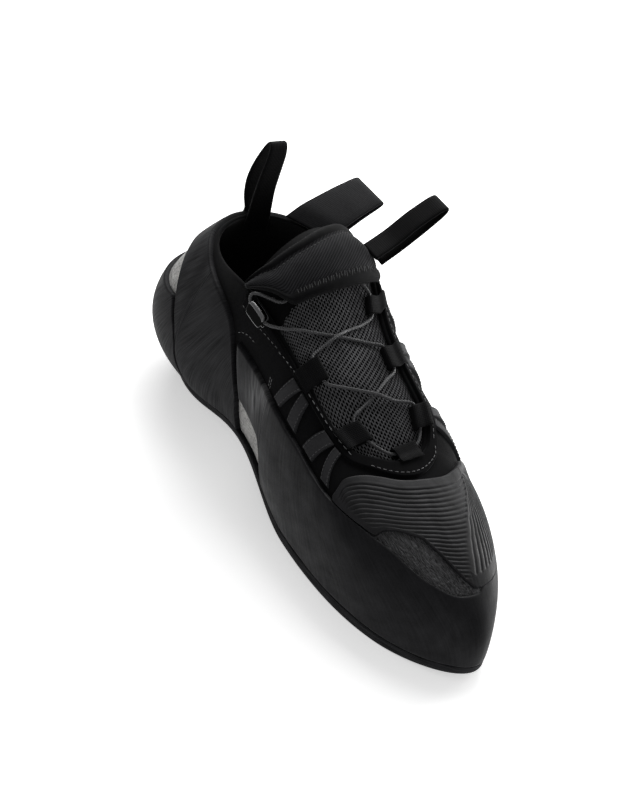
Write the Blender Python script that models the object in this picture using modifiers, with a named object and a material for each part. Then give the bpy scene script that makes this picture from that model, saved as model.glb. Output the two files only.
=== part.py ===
"""Climbing shoe for the right foot: thin rubber sole, lasted upper, rubber rands, elastic lacing.

The working frame is in millimetres: X runs from the heel to the toe, Y to the inner (medial) side
and Z up from the floor. The shoe is moved at the end, so that the origin lies on the floor under
the middle of the whole shoe, and every mesh is made in metres.

The upper is one function, wall(u, v). u runs once round the last, from the toe over the outer
(lateral) side, the heel and the medial side back to the toe. v runs from the sole (0) to the rim of
throat and collar (1). Rubber, eyestay and webbing are strips of that same function.
"""
from collections import namedtuple

import bmesh
import bpy
import numpy as np

SHOE = "climbing_shoe"
MM = 0.001
UP = np.array([0.0, 0.0, 1.0])
MEDIAL = np.array([0.0, 1.0, 0.0])
FORWARD = np.array([1.0, 0.0, 0.0])

# Driving dimensions in millimetres
UPPER_WALL = 2.0
SEAT_GAP = 0.4
RUBBER_GAP = 0.75
RUBBER = 1.6
WEBBING = 1.0
EYESTAY = 1.2
TONGUE_GAP = 0.7
TONGUE = 3.0
FLAP = 2.2
FEATHER_GAP = 0.3
SOLE_MARGIN = 2.3
SOLE_EDGE_ROUND = 1.2
SOLE_BLUNT = 0.35
INSOLE = 1.5
INSOLE_INSET = 2.8
INSOLE_EDGE_ROUND = 0.4
LACE = 1.5
LOOP_WEB = 0.8
PULL_WEB = 1.4
ELASTIC = 1.2

# Shares of the wall: where the rubber starts above the sole, and the middle of the heel
RUBBER_FOOT = 0.012
HEEL_U = 0.503

# Fineness of the meshes. A mesh on the wall has its spacing along u in millimetres.
Grid = namedtuple("Grid", "columns rows")
Mesh = namedtuple("Mesh", "spacing rows")
RAND_MESH = Mesh(9.0, 6)
TOE_PATCH_MESH = Mesh(6.0, 7)
HEEL_BAND_MESH = Mesh(9.0, 8)
HEEL_CUP_MESH = Mesh(7.0, 6)
EYESTAY_MESH = Mesh(7.0, 2)
STRIP_MESH = Mesh(5.0, 4)
UPPER_GRID = Grid(72, 9)
UPPER_MIDDLE = 0.4
TONGUE_GRID = Grid(16, 11)
FLAP_GRID = Grid(6, 13)
SOLE_STEPS = 42
INSOLE_STEPS = 26
STRAP_STEPS = 16
LOOP_STEPS = 13
EASING_ROUNDS = 6
LACE_STEPS = 70
TIP_ROUNDS = 4
WELD = 0.02
SHARP_DEGREES = 40

# Sole line along the foot: flat under heel and ball, raised between them
Sole = namedtuple("Sole", "heel_back heel_front ball_back ball_front toe arch spring heel_round")
SOLE = Sole(18.0, 36.0, 150.0, 214.0, 245.0, 11.0, 3.0, 5.0)
SOLE_STATIONS = (0.0, 40.0, 95.0, 140.0, 200.0, 245.0)
SOLE_THICKNESS = (4.0, 4.0, 2.8, 4.2, 4.5, 4.0)

# One row for each rib of the last. A rib leaves the sole at its foot and ends at the rim.
# bulge and rise lead it out of the sole, shoulder and drop lead it into the rim.
Rib = namedtuple("Rib", "name foot_x foot_y bulge rise rim_x rim_y rim_z shoulder drop")
RIBS = (
    Rib("toe", 245, 3, 1, 22, 168, 3, 54, 50, 11),
    Rib("toe_lateral", 231, -16, 3, 22, 164, -10, 54, 38, 9),
    Rib("forefoot_lateral", 205, -28, 5, 22, 158, -17, 54, 28, 8),
    Rib("ball_lateral", 172, -32, 6, 22, 146, -22, 58, 18, 8),
    Rib("instep_lateral", 132, -29, 9, 24, 123, -26, 68, 10, 14),
    Rib("waist_lateral", 97, -24, 10, 26, 98, -29, 77, 6, 20),
    Rib("ankle_lateral", 67, -21, 18, 28, 74, -33, 83, 5, 24),
    Rib("heel_lateral", 41, -19, 27, 24, 48, -29, 79, 12, 26),
    Rib("heel_corner_lateral", 21, -13, 29, 22, 28, -18, 80, 20, 26),
    Rib("heel", 14, 0, 27, 22, 21, 0, 82, 20, 26),
    Rib("heel_corner_medial", 21, 13, 28, 22, 28, 18, 82, 19, 26),
    Rib("heel_medial", 41, 19, 24, 24, 48, 29, 82, 11, 26),
    Rib("ankle_medial", 66, 18, 17, 28, 76, 30, 88, 10, 18),
    Rib("waist_medial", 98, 21, 13, 28, 101, 24, 81, 20, 8),
    Rib("instep_medial", 132, 27, 10, 26, 128, 21, 71, 24, 7),
    Rib("ball_medial", 176, 35, 3, 22, 151, 21, 62, 23, 7),
    Rib("forefoot_medial", 210, 27, 2, 22, 161, 17, 57, 27, 8),
    Rib("toe_medial", 236, 14, 1, 22, 166, 11, 55, 41, 9),
)
FOOT_SHARE = 0.6

# Strips of the wall. Each row is a cut across the strip, from its low edge to its top edge.
Cut = namedtuple("Cut", "low_u low_v top_u top_v")
RAND_WAIST = (
    Cut(0.3030, 0.310, 0.3265, 0.688),
    Cut(0.2880, 0.300, 0.3050, 0.675),
    Cut(0.2700, 0.300, 0.2830, 0.664),
    Cut(0.2560, 0.300, 0.2640, 0.659),
    Cut(0.2495, 0.240, 0.2545, 0.657),
    Cut(0.2470, 0.120, 0.2500, 0.656),
    Cut(0.2460, RUBBER_FOOT, 0.2470, 0.656),
)
RAND_FRONT = (
    Cut(0.213, RUBBER_FOOT, 0.213, 0.662),
    Cut(0.180, RUBBER_FOOT, 0.180, 0.672),
    Cut(0.139, RUBBER_FOOT, 0.139, 0.665),
    Cut(0.095, RUBBER_FOOT, 0.095, 0.660),
    Cut(0.045, RUBBER_FOOT, 0.045, 0.620),
    Cut(0.033, RUBBER_FOOT, 0.033, 0.600),
    Cut(0.018, RUBBER_FOOT, 0.018, 0.500),
    Cut(0.006, RUBBER_FOOT, 0.006, 0.440),
    Cut(-0.010, RUBBER_FOOT, -0.010, 0.448),
    Cut(-0.070, RUBBER_FOOT, -0.070, 0.470),
    Cut(-0.130, RUBBER_FOOT, -0.130, 0.500),
    Cut(-0.200, RUBBER_FOOT, -0.200, 0.570),
)
TOE_PATCH_CUTS = (
    Cut(0.0930, 0.680, 0.0930, 0.695),
    Cut(0.0800, 0.672, 0.0860, 0.745),
    Cut(0.0680, 0.662, 0.0770, 0.820),
    Cut(0.0550, 0.650, 0.0580, 0.875),
    Cut(0.0440, 0.640, 0.0400, 0.905),
    Cut(0.0300, 0.680, 0.0250, 0.920),
    Cut(0.0190, 0.705, 0.0150, 0.923),
    Cut(0.0120, 0.695, 0.0080, 0.925),
    Cut(0.0085, 0.645, 0.0030, 0.925),
    Cut(0.0055, 0.570, 0.0000, 0.922),
    Cut(0.0025, 0.505, -0.0040, 0.915),
    Cut(-0.0010, 0.462, -0.0080, 0.905),
    Cut(-0.0100, 0.462, -0.0150, 0.888),
    Cut(-0.0350, 0.472, -0.0370, 0.848),
    Cut(-0.0600, 0.480, -0.0620, 0.797),
    Cut(-0.0850, 0.490, -0.0900, 0.735),
    Cut(-0.1120, 0.505, -0.1130, 0.560),
)
HEEL_BAND_SIDE = (
    Cut(0.3120, RUBBER_FOOT, 0.3095, 0.275),
    Cut(0.3220, RUBBER_FOOT, 0.3180, 0.430),
    Cut(0.3330, RUBBER_FOOT, 0.3290, 0.605),
    Cut(0.3500, RUBBER_FOOT, 0.3480, 0.775),
    Cut(0.3830, RUBBER_FOOT, 0.3800, 0.885),
    Cut(0.4060, RUBBER_FOOT, 0.4050, 0.937),
    Cut(0.4070, 0.200, 0.4075, 0.941),
    Cut(0.4080, 0.385, 0.4100, 0.945),
    Cut(0.4125, 0.488, 0.4160, 0.953),
    Cut(0.4230, 0.600, 0.4280, 0.971),
    Cut(0.4325, 0.682, 0.4400, 0.985),
    Cut(0.4480, 0.780, 0.4600, 0.990),
    Cut(0.4680, 0.840, 0.4780, 0.990),
)
HEEL_BAND_BACK = Cut(HEEL_U, 0.850, HEEL_U, 0.990)
HEEL_CUP_SIDE = (
    Cut(0.4090, RUBBER_FOOT, 0.4095, 0.375),
    Cut(0.4140, RUBBER_FOOT, 0.4140, 0.475),
    Cut(0.4250, RUBBER_FOOT, 0.4250, 0.588),
    Cut(0.4345, RUBBER_FOOT, 0.4345, 0.656),
    Cut(0.4420, RUBBER_FOOT, 0.4420, 0.645),
    Cut(0.4540, RUBBER_FOOT, 0.4540, 0.632),
    Cut(0.4700, RUBBER_FOOT, 0.4700, 0.625),
)
HEEL_CUP_BACK = Cut(HEEL_U, RUBBER_FOOT, HEEL_U, 0.620)
EYESTAY_SIDE = (
    Cut(0.345, 0.900, 0.345, 0.994),
    Cut(0.300, 0.935, 0.300, 0.994),
    Cut(0.240, 0.945, 0.240, 0.994),
    Cut(0.130, 0.945, 0.130, 0.994),
    Cut(0.080, 0.930, 0.080, 0.994),
    Cut(0.030, 0.938, 0.030, 0.994),
)
EYESTAY_TOE = Cut(0.0, 0.938, 0.0, 0.994)

# Webbing strips between rand and eyestay, in pairs that meet at a lace loop
Strip = namedtuple("Strip", "name low_from low_to low_v top_from top_to top_v")
STRIPS = (
    Strip("web_lateral_1", 0.2440, 0.2290, 0.692, 0.2340, 0.2140, 0.938),
    Strip("web_lateral_2", 0.2090, 0.1880, 0.702, 0.2110, 0.1940, 0.938),
    Strip("web_lateral_3", 0.1680, 0.1440, 0.704, 0.1520, 0.1240, 0.938),
    Strip("web_lateral_4", 0.1190, 0.1030, 0.698, 0.1210, 0.1030, 0.932),
    Strip("web_medial_1", -0.3290, -0.3130, 0.735, -0.3190, -0.3030, 0.902),
    Strip("web_medial_2", -0.2930, -0.2770, 0.715, -0.3010, -0.2850, 0.922),
    Strip("web_medial_3", -0.2560, -0.2400, 0.695, -0.2470, -0.2310, 0.938),
    Strip("web_medial_4", -0.2200, -0.2040, 0.670, -0.2290, -0.2130, 0.938),
    Strip("web_medial_5", -0.1700, -0.1520, 0.590, -0.1490, -0.1320, 0.938),
    Strip("web_medial_6", -0.1250, -0.1110, 0.600, -0.1300, -0.1140, 0.938),
)

# Tongue: where its sections hang on both sides of the throat, from the toe to the ankle.
# tuck is how far a section runs down inside the wall, crown how strongly it arches over the foot
# and lean how much more of that arch lies on the medial side.
Section = namedtuple("Section", "along lateral_u medial_u edge_v tuck crown lean")
TONGUE_SECTIONS = (
    Section(0.00, 0.025, -0.022, 0.900, 0.05, 0.26, 0.00),
    Section(0.07, 0.052, -0.045, 0.955, 0.08, 0.26, 0.00),
    Section(0.15, 0.085, -0.085, 1.000, 0.10, 0.26, 0.00),
    Section(0.40, 0.170, -0.150, 1.000, 0.12, 0.24, 0.00),
    Section(0.70, 0.258, -0.245, 1.000, 0.12, 0.26, 0.00),
    Section(1.00, 0.357, -0.390, 1.000, 0.12, 0.44, 0.40),
)
TONGUE_TUCKS = (1.4, 2.0)

# Flap of the tongue: its lower edge and its top, from the lateral to the medial side
FlapEdge = namedtuple("FlapEdge", "across start finish")
FLAP_EDGES = (
    FlapEdge(-0.955, 0.970, 0.995),
    FlapEdge(-0.700, 0.890, 0.985),
    FlapEdge(-0.500, 0.828, 0.975),
    FlapEdge(-0.120, 0.832, 0.970),
    FlapEdge(0.310, 0.840, 0.980),
    FlapEdge(0.620, 0.848, 0.990),
    FlapEdge(0.955, 0.862, 0.985),
)
FLAP_LIFT = 3.4

# Lace loops: webbing folded round the lace. A loop leaves the rim at u and its root on the tongue,
# and the lace runs through it at its last two columns.
LaceLoop = namedtuple("LaceLoop", "name u width root_along root_across lace_along lace_across")
LACE_LOOPS = (
    LaceLoop("lace_loop_lateral_1", 0.2200, 11.0, 0.570, -1.00, 0.590, -0.690),
    LaceLoop("lace_loop_lateral_2", 0.1210, 10.0, 0.255, -1.00, 0.265, -0.490),
    LaceLoop("lace_loop_medial_1", -0.3000, 9.0, 0.805, 1.00, 0.805, 0.790),
    LaceLoop("lace_loop_medial_2", -0.2300, 11.0, 0.650, 1.00, 0.645, 0.775),
    LaceLoop("lace_loop_medial_3", -0.1310, 11.0, 0.330, 1.00, 0.310, 0.810),
    LaceLoop("lace_loop_toe", -0.0050, 12.0, 0.018, 0.20, 0.062, 0.200),
)
LOOP_SEAT = 1.6
LOOP_PLAY = 0.5
LOOP_TIP_ROOM = 1.5
NEAR_RIM = 0.9

# Section of a loop: share of its reach over the tongue, and height as a share of the loop's own
LoopBend = namedtuple("LoopBend", "reach height")
LOOP_BENDS = (
    LoopBend(0.30, 1.00),
    LoopBend(0.65, 1.00),
    LoopBend(0.94, 0.96),
    LoopBend(1.00, 0.66),
    LoopBend(1.00, 0.34),
    LoopBend(0.94, 0.04),
    LoopBend(0.65, 0.00),
    LoopBend(0.38, 0.00),
)

# Lace: one elastic loop that hangs on the hook. A stop is a pass through a loop, in the direction
# of u (1) or against it (-1), or a place on the tongue with the height of the lace's middle above it.
Stop = namedtuple("Stop", "loop turn along across lift")
LACE_LOW = 1.30
LACE_OVER = 3.25
LACE_STOPS = (
    Stop("lace_hook", -1, 0.0, 0.0, 0.0),
    Stop("", 0, 0.772, -0.800, 4.40),
    Stop("", 0, 0.745, -0.520, 2.30),
    Stop("", 0, 0.733, -0.358, LACE_LOW),
    Stop("", 0, 0.717, -0.040, LACE_LOW),
    Stop("", 0, 0.708, 0.225, LACE_LOW),
    Stop("", 0, 0.700, 0.480, LACE_LOW),
    Stop("lace_loop_medial_2", 1, 0.0, 0.0, 0.0),
    Stop("", 0, 0.547, 0.450, LACE_LOW),
    Stop("", 0, 0.467, 0.125, LACE_LOW),
    Stop("", 0, 0.405, -0.158, LACE_LOW),
    Stop("", 0, 0.368, -0.390, 2.40),
    Stop("lace_loop_lateral_2", -1, 0.0, 0.0, 0.0),
    Stop("", 0, 0.160, -0.455, 1.90),
    Stop("", 0, 0.100, -0.330, 2.20),
    Stop("lace_loop_toe", -1, 0.0, 0.0, 0.0),
    Stop("", 0, 0.150, 0.800, 2.60),
    Stop("lace_loop_medial_3", -1, 0.0, 0.0, 0.0),
    Stop("", 0, 0.430, 0.467, LACE_LOW),
    Stop("", 0, 0.463, 0.121, LACE_OVER),
    Stop("", 0, 0.487, -0.130, LACE_LOW),
    Stop("", 0, 0.503, -0.358, LACE_LOW),
    Stop("lace_loop_lateral_1", 1, 0.0, 0.0, 0.0),
    Stop("", 0, 0.680, -0.390, LACE_LOW),
    Stop("", 0, 0.715, -0.055, LACE_OVER),
    Stop("", 0, 0.737, 0.183, LACE_LOW),
    Stop("", 0, 0.752, 0.480, LACE_LOW),
    Stop("lace_loop_medial_1", -1, 0.0, 0.0, 0.0),
    Stop("", 0, 0.880, 0.480, 1.80),
    Stop("", 0, 0.886, 0.150, LACE_LOW),
    Stop("", 0, 0.880, -0.200, LACE_LOW),
    Stop("", 0, 0.862, -0.480, LACE_LOW),
    Stop("", 0, 0.850, -0.660, 2.60),
    Stop("lace_hook", -1, 0.0, 0.0, 0.0),
)
LACE_PITCH = 4.0

# Hook: a channel that is open to the outer side. reach is towards the throat, height off the wall.
HOOK_U = 0.316
HOOK_V = 0.992
HOOK_LENGTH = 10.0
HookCorner = namedtuple("HookCorner", "reach height")
HOOK_PROFILE = (
    HookCorner(-3.4, 1.95), HookCorner(2.8, 1.95), HookCorner(3.6, 2.80), HookCorner(3.6, 5.90),
    HookCorner(2.7, 6.85), HookCorner(-2.6, 6.85), HookCorner(-3.2, 6.30), HookCorner(-2.6, 5.80),
    HookCorner(2.5, 5.80), HookCorner(2.5, 2.95), HookCorner(-3.4, 2.95),
)
HOOK_LACE = HookCorner(0.5, 4.38)

# Way of the lace round the heel end of the hook, beside its channel
HookTurn = namedtuple("HookTurn", "along reach height")
HOOK_TURNS = (HookTurn(6.2, 6.0, 4.2), HookTurn(8.6, 3.4, 4.4))

# Pull loops: each row leads the outer face of the band from its seat over the tip and back.
# forward, medial and up are measured from the seat, half is half the width of the band.
Fold = namedtuple("Fold", "forward medial up half")
HEEL_TAB_U = 0.513
HEEL_TAB_SEATS = (0.950, 0.988)
HEEL_TAB = (
    Fold(-2.7, 3.4, 8, 5.6),
    Fold(-2.4, 1.6, 17, 5.2),
    Fold(-1.6, 2.0, 25, 5.0),
    Fold(-0.4, 3.6, 33, 4.7),
    Fold(2.0, 4.6, 40, 4.2),
    Fold(4.8, 3.4, 36, 4.7),
    Fold(5.4, 1.8, 25, 5.2),
    Fold(5.2, 1.4, 16, 5.4),
    Fold(4.6, 2.2, 9, 5.8),
    Fold(4.0, 3.0, 2, 6.2),
    Fold(3.5, 3.2, -6, 6.2),
)
ELASTIC_U = (0.592, 0.565, 0.540)
ELASTIC_LOOP = (
    Fold(0, 1.2, 1.6, 11),
    Fold(0, 5.5, 4.4, 11),
    Fold(-2, 17, 9.5, 11),
    Fold(-4, 29, 14.0, 11),
    Fold(-4, 32, 16.0, 11),
    Fold(-4, 30, 18.0, 11),
    Fold(-2, 17, 13.5, 11),
    Fold(0, 3.8, 7.7, 11),
    Fold(0, -2.6, 1.8, 11),
)
TONGUE_LOOP_SEATS = ((0.450, 0.930), (0.450, 0.740))
TONGUE_LOOP = (
    Fold(0, 9, 7, 5.8),
    Fold(0, 19, 16, 5.8),
    Fold(0, 28, 25, 5.8),
    Fold(0, 28.5, 28.5, 5.8),
    Fold(0, 25, 28, 5.8),
    Fold(0, 14, 20, 5.8),
    Fold(0, 4.5, 11, 5.8),
)

# Finishes: linear colour and roughness
FINISHES = {
    "sole_rubber": ((0.012, 0.012, 0.013), 0.60),
    "rand_rubber": ((0.016, 0.016, 0.017), 0.55),
    "toe_rubber": ((0.018, 0.018, 0.019), 0.58),
    "heel_rubber": ((0.015, 0.015, 0.016), 0.62),
    "suede": ((0.030, 0.030, 0.031), 0.90),
    "binding": ((0.010, 0.010, 0.011), 0.80),
    "webbing": ((0.014, 0.014, 0.015), 0.75),
    "spacer_mesh": ((0.045, 0.045, 0.046), 0.85),
    "twill": ((0.014, 0.014, 0.015), 0.85),
    "board": ((0.040, 0.038, 0.036), 0.90),
    "elastic": ((0.020, 0.020, 0.021), 0.80),
    "cord": ((0.020, 0.020, 0.021), 0.55),
    "hook_plastic": ((0.010, 0.010, 0.011), 0.20),
}


def unit(vectors):
    return vectors / np.linalg.norm(vectors, axis=-1, keepdims=True)


def columns_of(rows):
    """Turn a table into one array for each named column."""
    return {name: np.array([getattr(row, name) for row in rows]) for name in rows[0]._fields}


def ring_spline(knots, values, at):
    """Smooth closed curve through the values, as a periodic cubic spline."""
    count = len(values)
    step = np.diff(knots)
    system = np.zeros((count, count))
    right = np.zeros(count)
    for i in range(count):
        following = (i + 1) % count
        system[i, i - 1] += step[i - 1]
        system[i, i] += 2 * (step[i - 1] + step[i])
        system[i, following] += step[i]
        rise_after = (values[following] - values[i]) / step[i]
        rise_before = (values[i] - values[i - 1]) / step[i - 1]
        right[i] = 6 * (rise_after - rise_before)
    bend = np.linalg.solve(system, right)
    at = np.mod(at, 1.0)
    k = np.clip(np.searchsorted(knots, at, side="right") - 1, 0, count - 1)
    after = (k + 1) % count
    a = (knots[k + 1] - at) / step[k]
    b = (at - knots[k]) / step[k]
    cubic = (a**3 - a) * bend[k] + (b**3 - b) * bend[after]
    return a * values[k] + b * values[after] + cubic * step[k]**2 / 6


def easy_curve(knots, values, at):
    """Smooth open curve through the values that never swings past them."""
    step = np.diff(knots)
    rise = np.diff(values) / step
    slope = np.zeros(len(values))
    slope[0] = rise[0]
    slope[-1] = rise[-1]
    same_way = rise[:-1] * rise[1:] > 0
    total = np.where(same_way, rise[:-1] + rise[1:], 1.0)
    slope[1:-1] = np.where(same_way, 2 * rise[:-1] * rise[1:] / total, 0.0)
    k = np.clip(np.searchsorted(knots, at, side="right") - 1, 0, len(step) - 1)
    t = (at - knots[k]) / step[k]
    start = (1 + 2 * t) * (1 - t)**2 * values[k] + t * (1 - t)**2 * step[k] * slope[k]
    return start + t**2 * (3 - 2 * t) * values[k + 1] + t**2 * (t - 1) * step[k] * slope[k + 1]


def sole_bottom(x):
    """Height of the sole's underside: arch, toe spring and rounded heel."""
    span = np.clip((x - SOLE.heel_front) / (SOLE.ball_back - SOLE.heel_front), 0, 1)
    arch = SOLE.arch * (0.5 - 0.5 * np.cos(2 * np.pi * span))
    toe = np.clip((x - SOLE.ball_front) / (SOLE.toe - SOLE.ball_front), 0, None)
    heel = np.clip((SOLE.heel_back - x) / SOLE.heel_back, 0, None)
    return arch + SOLE.spring * toe**2 + SOLE.heel_round * heel**2


def sole_top(x):
    return sole_bottom(x) + np.interp(x, SOLE_STATIONS, SOLE_THICKNESS)


def feather(x):
    """Height at which the upper meets the sole."""
    return sole_top(x) + FEATHER_GAP


LAST = columns_of(RIBS)


def rib_knots():
    foot = np.stack([LAST["foot_x"], LAST["foot_y"]], axis=1)
    rim = np.stack([LAST["rim_x"], LAST["rim_y"], LAST["rim_z"]], axis=1)
    foot_step = np.linalg.norm(np.roll(foot, -1, axis=0) - foot, axis=1)
    rim_step = np.linalg.norm(np.roll(rim, -1, axis=0) - rim, axis=1)
    walk = np.cumsum(FOOT_SHARE * foot_step + (1 - FOOT_SHARE) * rim_step)
    return np.concatenate([[0.0], walk]) / walk[-1]


KNOTS = rib_knots()


def last_value(name, u):
    return ring_spline(KNOTS, LAST[name], u)


def outward(u):
    """Level direction that points out of the shoe, square to the sole's edge."""
    e = 1e-4
    dx = last_value("foot_x", u + e) - last_value("foot_x", u - e)
    dy = last_value("foot_y", u + e) - last_value("foot_y", u - e)
    return unit(np.stack([-dy, dx, 0 * dx], axis=-1))


def wall(u, v):
    """Point on the outer face of the upper, in millimetres."""
    u, v = np.broadcast_arrays(np.asarray(u, float), np.asarray(v, float))
    out = outward(u)
    foot_x = last_value("foot_x", u)
    foot = np.stack([foot_x, last_value("foot_y", u), feather(foot_x)], axis=-1)
    rim = np.stack([last_value("rim_x", u), last_value("rim_y", u), last_value("rim_z", u)], axis=-1)
    lead = foot + out * last_value("bulge", u)[..., None] + UP * last_value("rise", u)[..., None]
    settle = rim + out * last_value("shoulder", u)[..., None] - UP * last_value("drop", u)[..., None]
    t = v[..., None]
    return (1 - t)**3 * foot + 3 * (1 - t)**2 * t * lead + 3 * (1 - t) * t**2 * settle + t**3 * rim


def wall_frame(u, v):
    """Outward normal and the two directions along and up the wall."""
    e = 1e-4
    low = np.clip(np.asarray(v, float) - e, 0, 1)
    high = np.clip(np.asarray(v, float) + e, 0, 1)
    along = unit(wall(u + e, v) - wall(u - e, v))
    upward = unit(wall(u, high) - wall(u, low))
    return unit(np.cross(upward, along)), along, upward


def skin(u, v, offset):
    """Point at a distance from the wall. It never dips below the wall's own point."""
    normal = wall_frame(u, v)[0]
    level = normal.copy()
    level[..., 2] = np.maximum(level[..., 2], 0.0)
    level = unit(level)
    stretch = 1 / np.sum(level * normal, axis=-1, keepdims=True)
    return wall(u, v) + level * stretch * offset


def inside(u, v, depth):
    """Point at a depth below the outer face of the upper."""
    return wall(u, v) - wall_frame(u, v)[0] * depth


def mirrored(cuts):
    """The same cuts on the medial side, in the order that continues round the heel or toe."""
    return tuple(Cut(-c.low_u, c.low_v, -c.top_u, c.top_v) for c in reversed(cuts))


def round_the_heel(cuts):
    """The same cuts on the other side of the heel."""
    twice = 2 * HEEL_U
    return tuple(Cut(twice - c.low_u, c.low_v, twice - c.top_u, c.top_v) for c in reversed(cuts))


def strip_grid(cuts, mesh, offset):
    """Points of a strip of the wall, rows from its low edge to its top edge and columns along u."""
    if cuts[0].low_u > cuts[-1].low_u:
        cuts = cuts[::-1]
    table = columns_of(cuts)
    middle = wall((table["low_u"] + table["top_u"]) / 2, (table["low_v"] + table["top_v"]) / 2)
    low = wall(table["low_u"], table["low_v"])
    top = wall(table["top_u"], table["top_v"])
    steps = [np.linalg.norm(np.diff(line, axis=0), axis=1) for line in (low, middle, top)]
    walk = np.concatenate([[0.0], np.cumsum(np.max(steps, axis=0))])
    count = int(np.ceil(walk[-1] / mesh.spacing)) + 1
    at = np.linspace(0, walk[-1], count)
    low_u, low_v, top_u, top_v = (easy_curve(walk, table[name], at) for name in Cut._fields)
    t = np.linspace(0, 1, mesh.rows)[:, None]
    return skin(low_u + t * (top_u - low_u), low_v + t * (top_v - low_v), offset)


def tongue_point(along, across, offset=0.0):
    """Point on the tongue. across is -1 and 1 at the two edges of the throat and past them below it."""
    along, across = np.broadcast_arrays(np.asarray(along, float), np.asarray(across, float))
    table = columns_of(TONGUE_SECTIONS)
    read = {name: easy_curve(table["along"], table[name], along) for name in Section._fields[1:]}
    depth = UPPER_WALL + TONGUE_GAP - offset
    ends = []
    for u in (read["lateral_u"], read["medial_u"]):
        ends.append((inside(u, read["edge_v"], depth), wall_frame(u, read["edge_v"])[2]))
    (start, start_up), (finish, finish_up) = ends
    span = np.linalg.norm(finish - start, axis=-1)
    start_reach = (read["crown"] * (1 - read["lean"]) * span)[..., None]
    finish_reach = (read["crown"] * (1 + read["lean"]) * span)[..., None]
    t = (np.clip(across, -1, 1)[..., None] + 1) / 2
    bridge = (1 - t)**3 * start + 3 * (1 - t)**2 * t * (start + start_reach * start_up)
    bridge = bridge + 3 * (1 - t) * t**2 * (finish + finish_reach * finish_up) + t**3 * finish
    below = np.clip(np.abs(across) - 1, 0, None) * read["tuck"]
    side_u = np.where(across < 0, read["lateral_u"], read["medial_u"])
    tucked = inside(side_u, read["edge_v"] - below, depth)
    return np.where((np.abs(across) > 1)[..., None], tucked, bridge)


def tongue_normal(along, across):
    e = 1e-3
    forward = tongue_point(along - e, across) - tongue_point(along + e, across)
    sideways = tongue_point(along, across + e) - tongue_point(along, across - e)
    return unit(np.cross(forward, sideways))


def over_tongue(along, across, lift):
    """Point at a height above the tongue."""
    return tongue_point(along, across) + tongue_normal(along, across) * np.asarray(lift)[..., None]


def flap_point(share, across):
    """Point on the outer face of the flap, from its lower edge (share 0) to its top (1)."""
    table = columns_of(FLAP_EDGES)
    start = easy_curve(table["across"], table["start"], across)
    finish = easy_curve(table["across"], table["finish"], across)
    lift = SEAT_GAP + FLAP_LIFT * (1 - share**2)
    return over_tongue(start + share * (finish - start), across, lift + FLAP)


def clear_scene():
    for thing in list(bpy.data.objects):
        bpy.data.objects.remove(thing)


def finish_material(name):
    material = bpy.data.materials.get(name)
    if material is None:
        colour, roughness = FINISHES[name]
        material = bpy.data.materials.new(name)
        material.use_nodes = True
        shader = material.node_tree.nodes["Principled BSDF"]
        shader.inputs["Base Color"].default_value = (*colour, 1.0)
        shader.inputs["Roughness"].default_value = roughness
        shader.inputs["Metallic"].default_value = 0.0
    return material


def add_part(name, data, finish):
    part = bpy.data.objects.new(name, data)
    data.materials.append(finish_material(finish))
    bpy.data.collections[SHOE].objects.link(part)
    return part


def mesh_from(name, work):
    bmesh.ops.remove_doubles(work, verts=work.verts, dist=WELD * MM)
    data = bpy.data.meshes.new(name)
    work.to_mesh(data)
    work.free()
    data.shade_smooth()
    data.set_sharp_from_angle(angle=np.radians(SHARP_DEGREES))
    return data


def sheet(name, grid, thickness, finish, ring=False):
    """Solid of even thickness under a grid of points whose faces look outwards."""
    rows, columns = grid.shape[:2]
    work = bmesh.new()
    verts = [[work.verts.new(point * MM) for point in row] for row in grid]
    for r in range(rows - 1):
        for c in range(columns if ring else columns - 1):
            d = (c + 1) % columns
            work.faces.new((verts[r][c], verts[r + 1][c], verts[r + 1][d], verts[r][d]))
    part = add_part(name, mesh_from(name, work), finish)
    shell = part.modifiers.new("thickness", "SOLIDIFY")
    shell.thickness = thickness * MM
    shell.offset = -1
    shell.use_even_offset = True
    return part


def loft(name, sections, finish):
    """Solid through closed sections, with flat ends."""
    count = len(sections[0])
    work = bmesh.new()
    verts = [[work.verts.new(point * MM) for point in section] for section in sections]
    for first, second in zip(verts, verts[1:]):
        for i in range(count):
            j = (i + 1) % count
            work.faces.new((first[i], first[j], second[j], second[i]))
    work.faces.new(verts[0])
    work.faces.new(verts[-1])
    bmesh.ops.recalc_face_normals(work, faces=work.faces)
    return add_part(name, mesh_from(name, work), finish)


def strap(name, path, sides, thickness, finish):
    """Band along a path. sides points from the path to one edge, for each point of the path."""
    grid = np.stack([path - sides, path, path + sides])
    return sheet(name, grid, thickness, finish)


def evenly(points, count):
    """The same path with points at an even spacing."""
    walk = np.concatenate([[0.0], np.cumsum(np.linalg.norm(np.diff(points, axis=0), axis=1))])
    at = np.linspace(0, walk[-1], count)
    return np.stack([np.interp(at, walk, column) for column in points.T], axis=1)


def softened(points, rounds):
    """The same path with its corners eased. Both ends stay."""
    for _ in range(rounds):
        eased = points.copy()
        eased[1:-1] = (points[:-2] + 2 * points[1:-1] + points[2:]) / 4
        points = eased
    return points


def smooth_path(points, count):
    return evenly(softened(evenly(points, 4 * count), EASING_ROUNDS), count)


def even_columns(count, level):
    """Values of u at even distances round the wall."""
    dense = np.linspace(0, 1, 2001)
    line = wall(dense, np.full_like(dense, level))
    walk = np.concatenate([[0.0], np.cumsum(np.linalg.norm(np.diff(line, axis=0), axis=1))])
    return np.interp(np.linspace(0, walk[-1], count + 1)[:-1], walk, dense)


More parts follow.
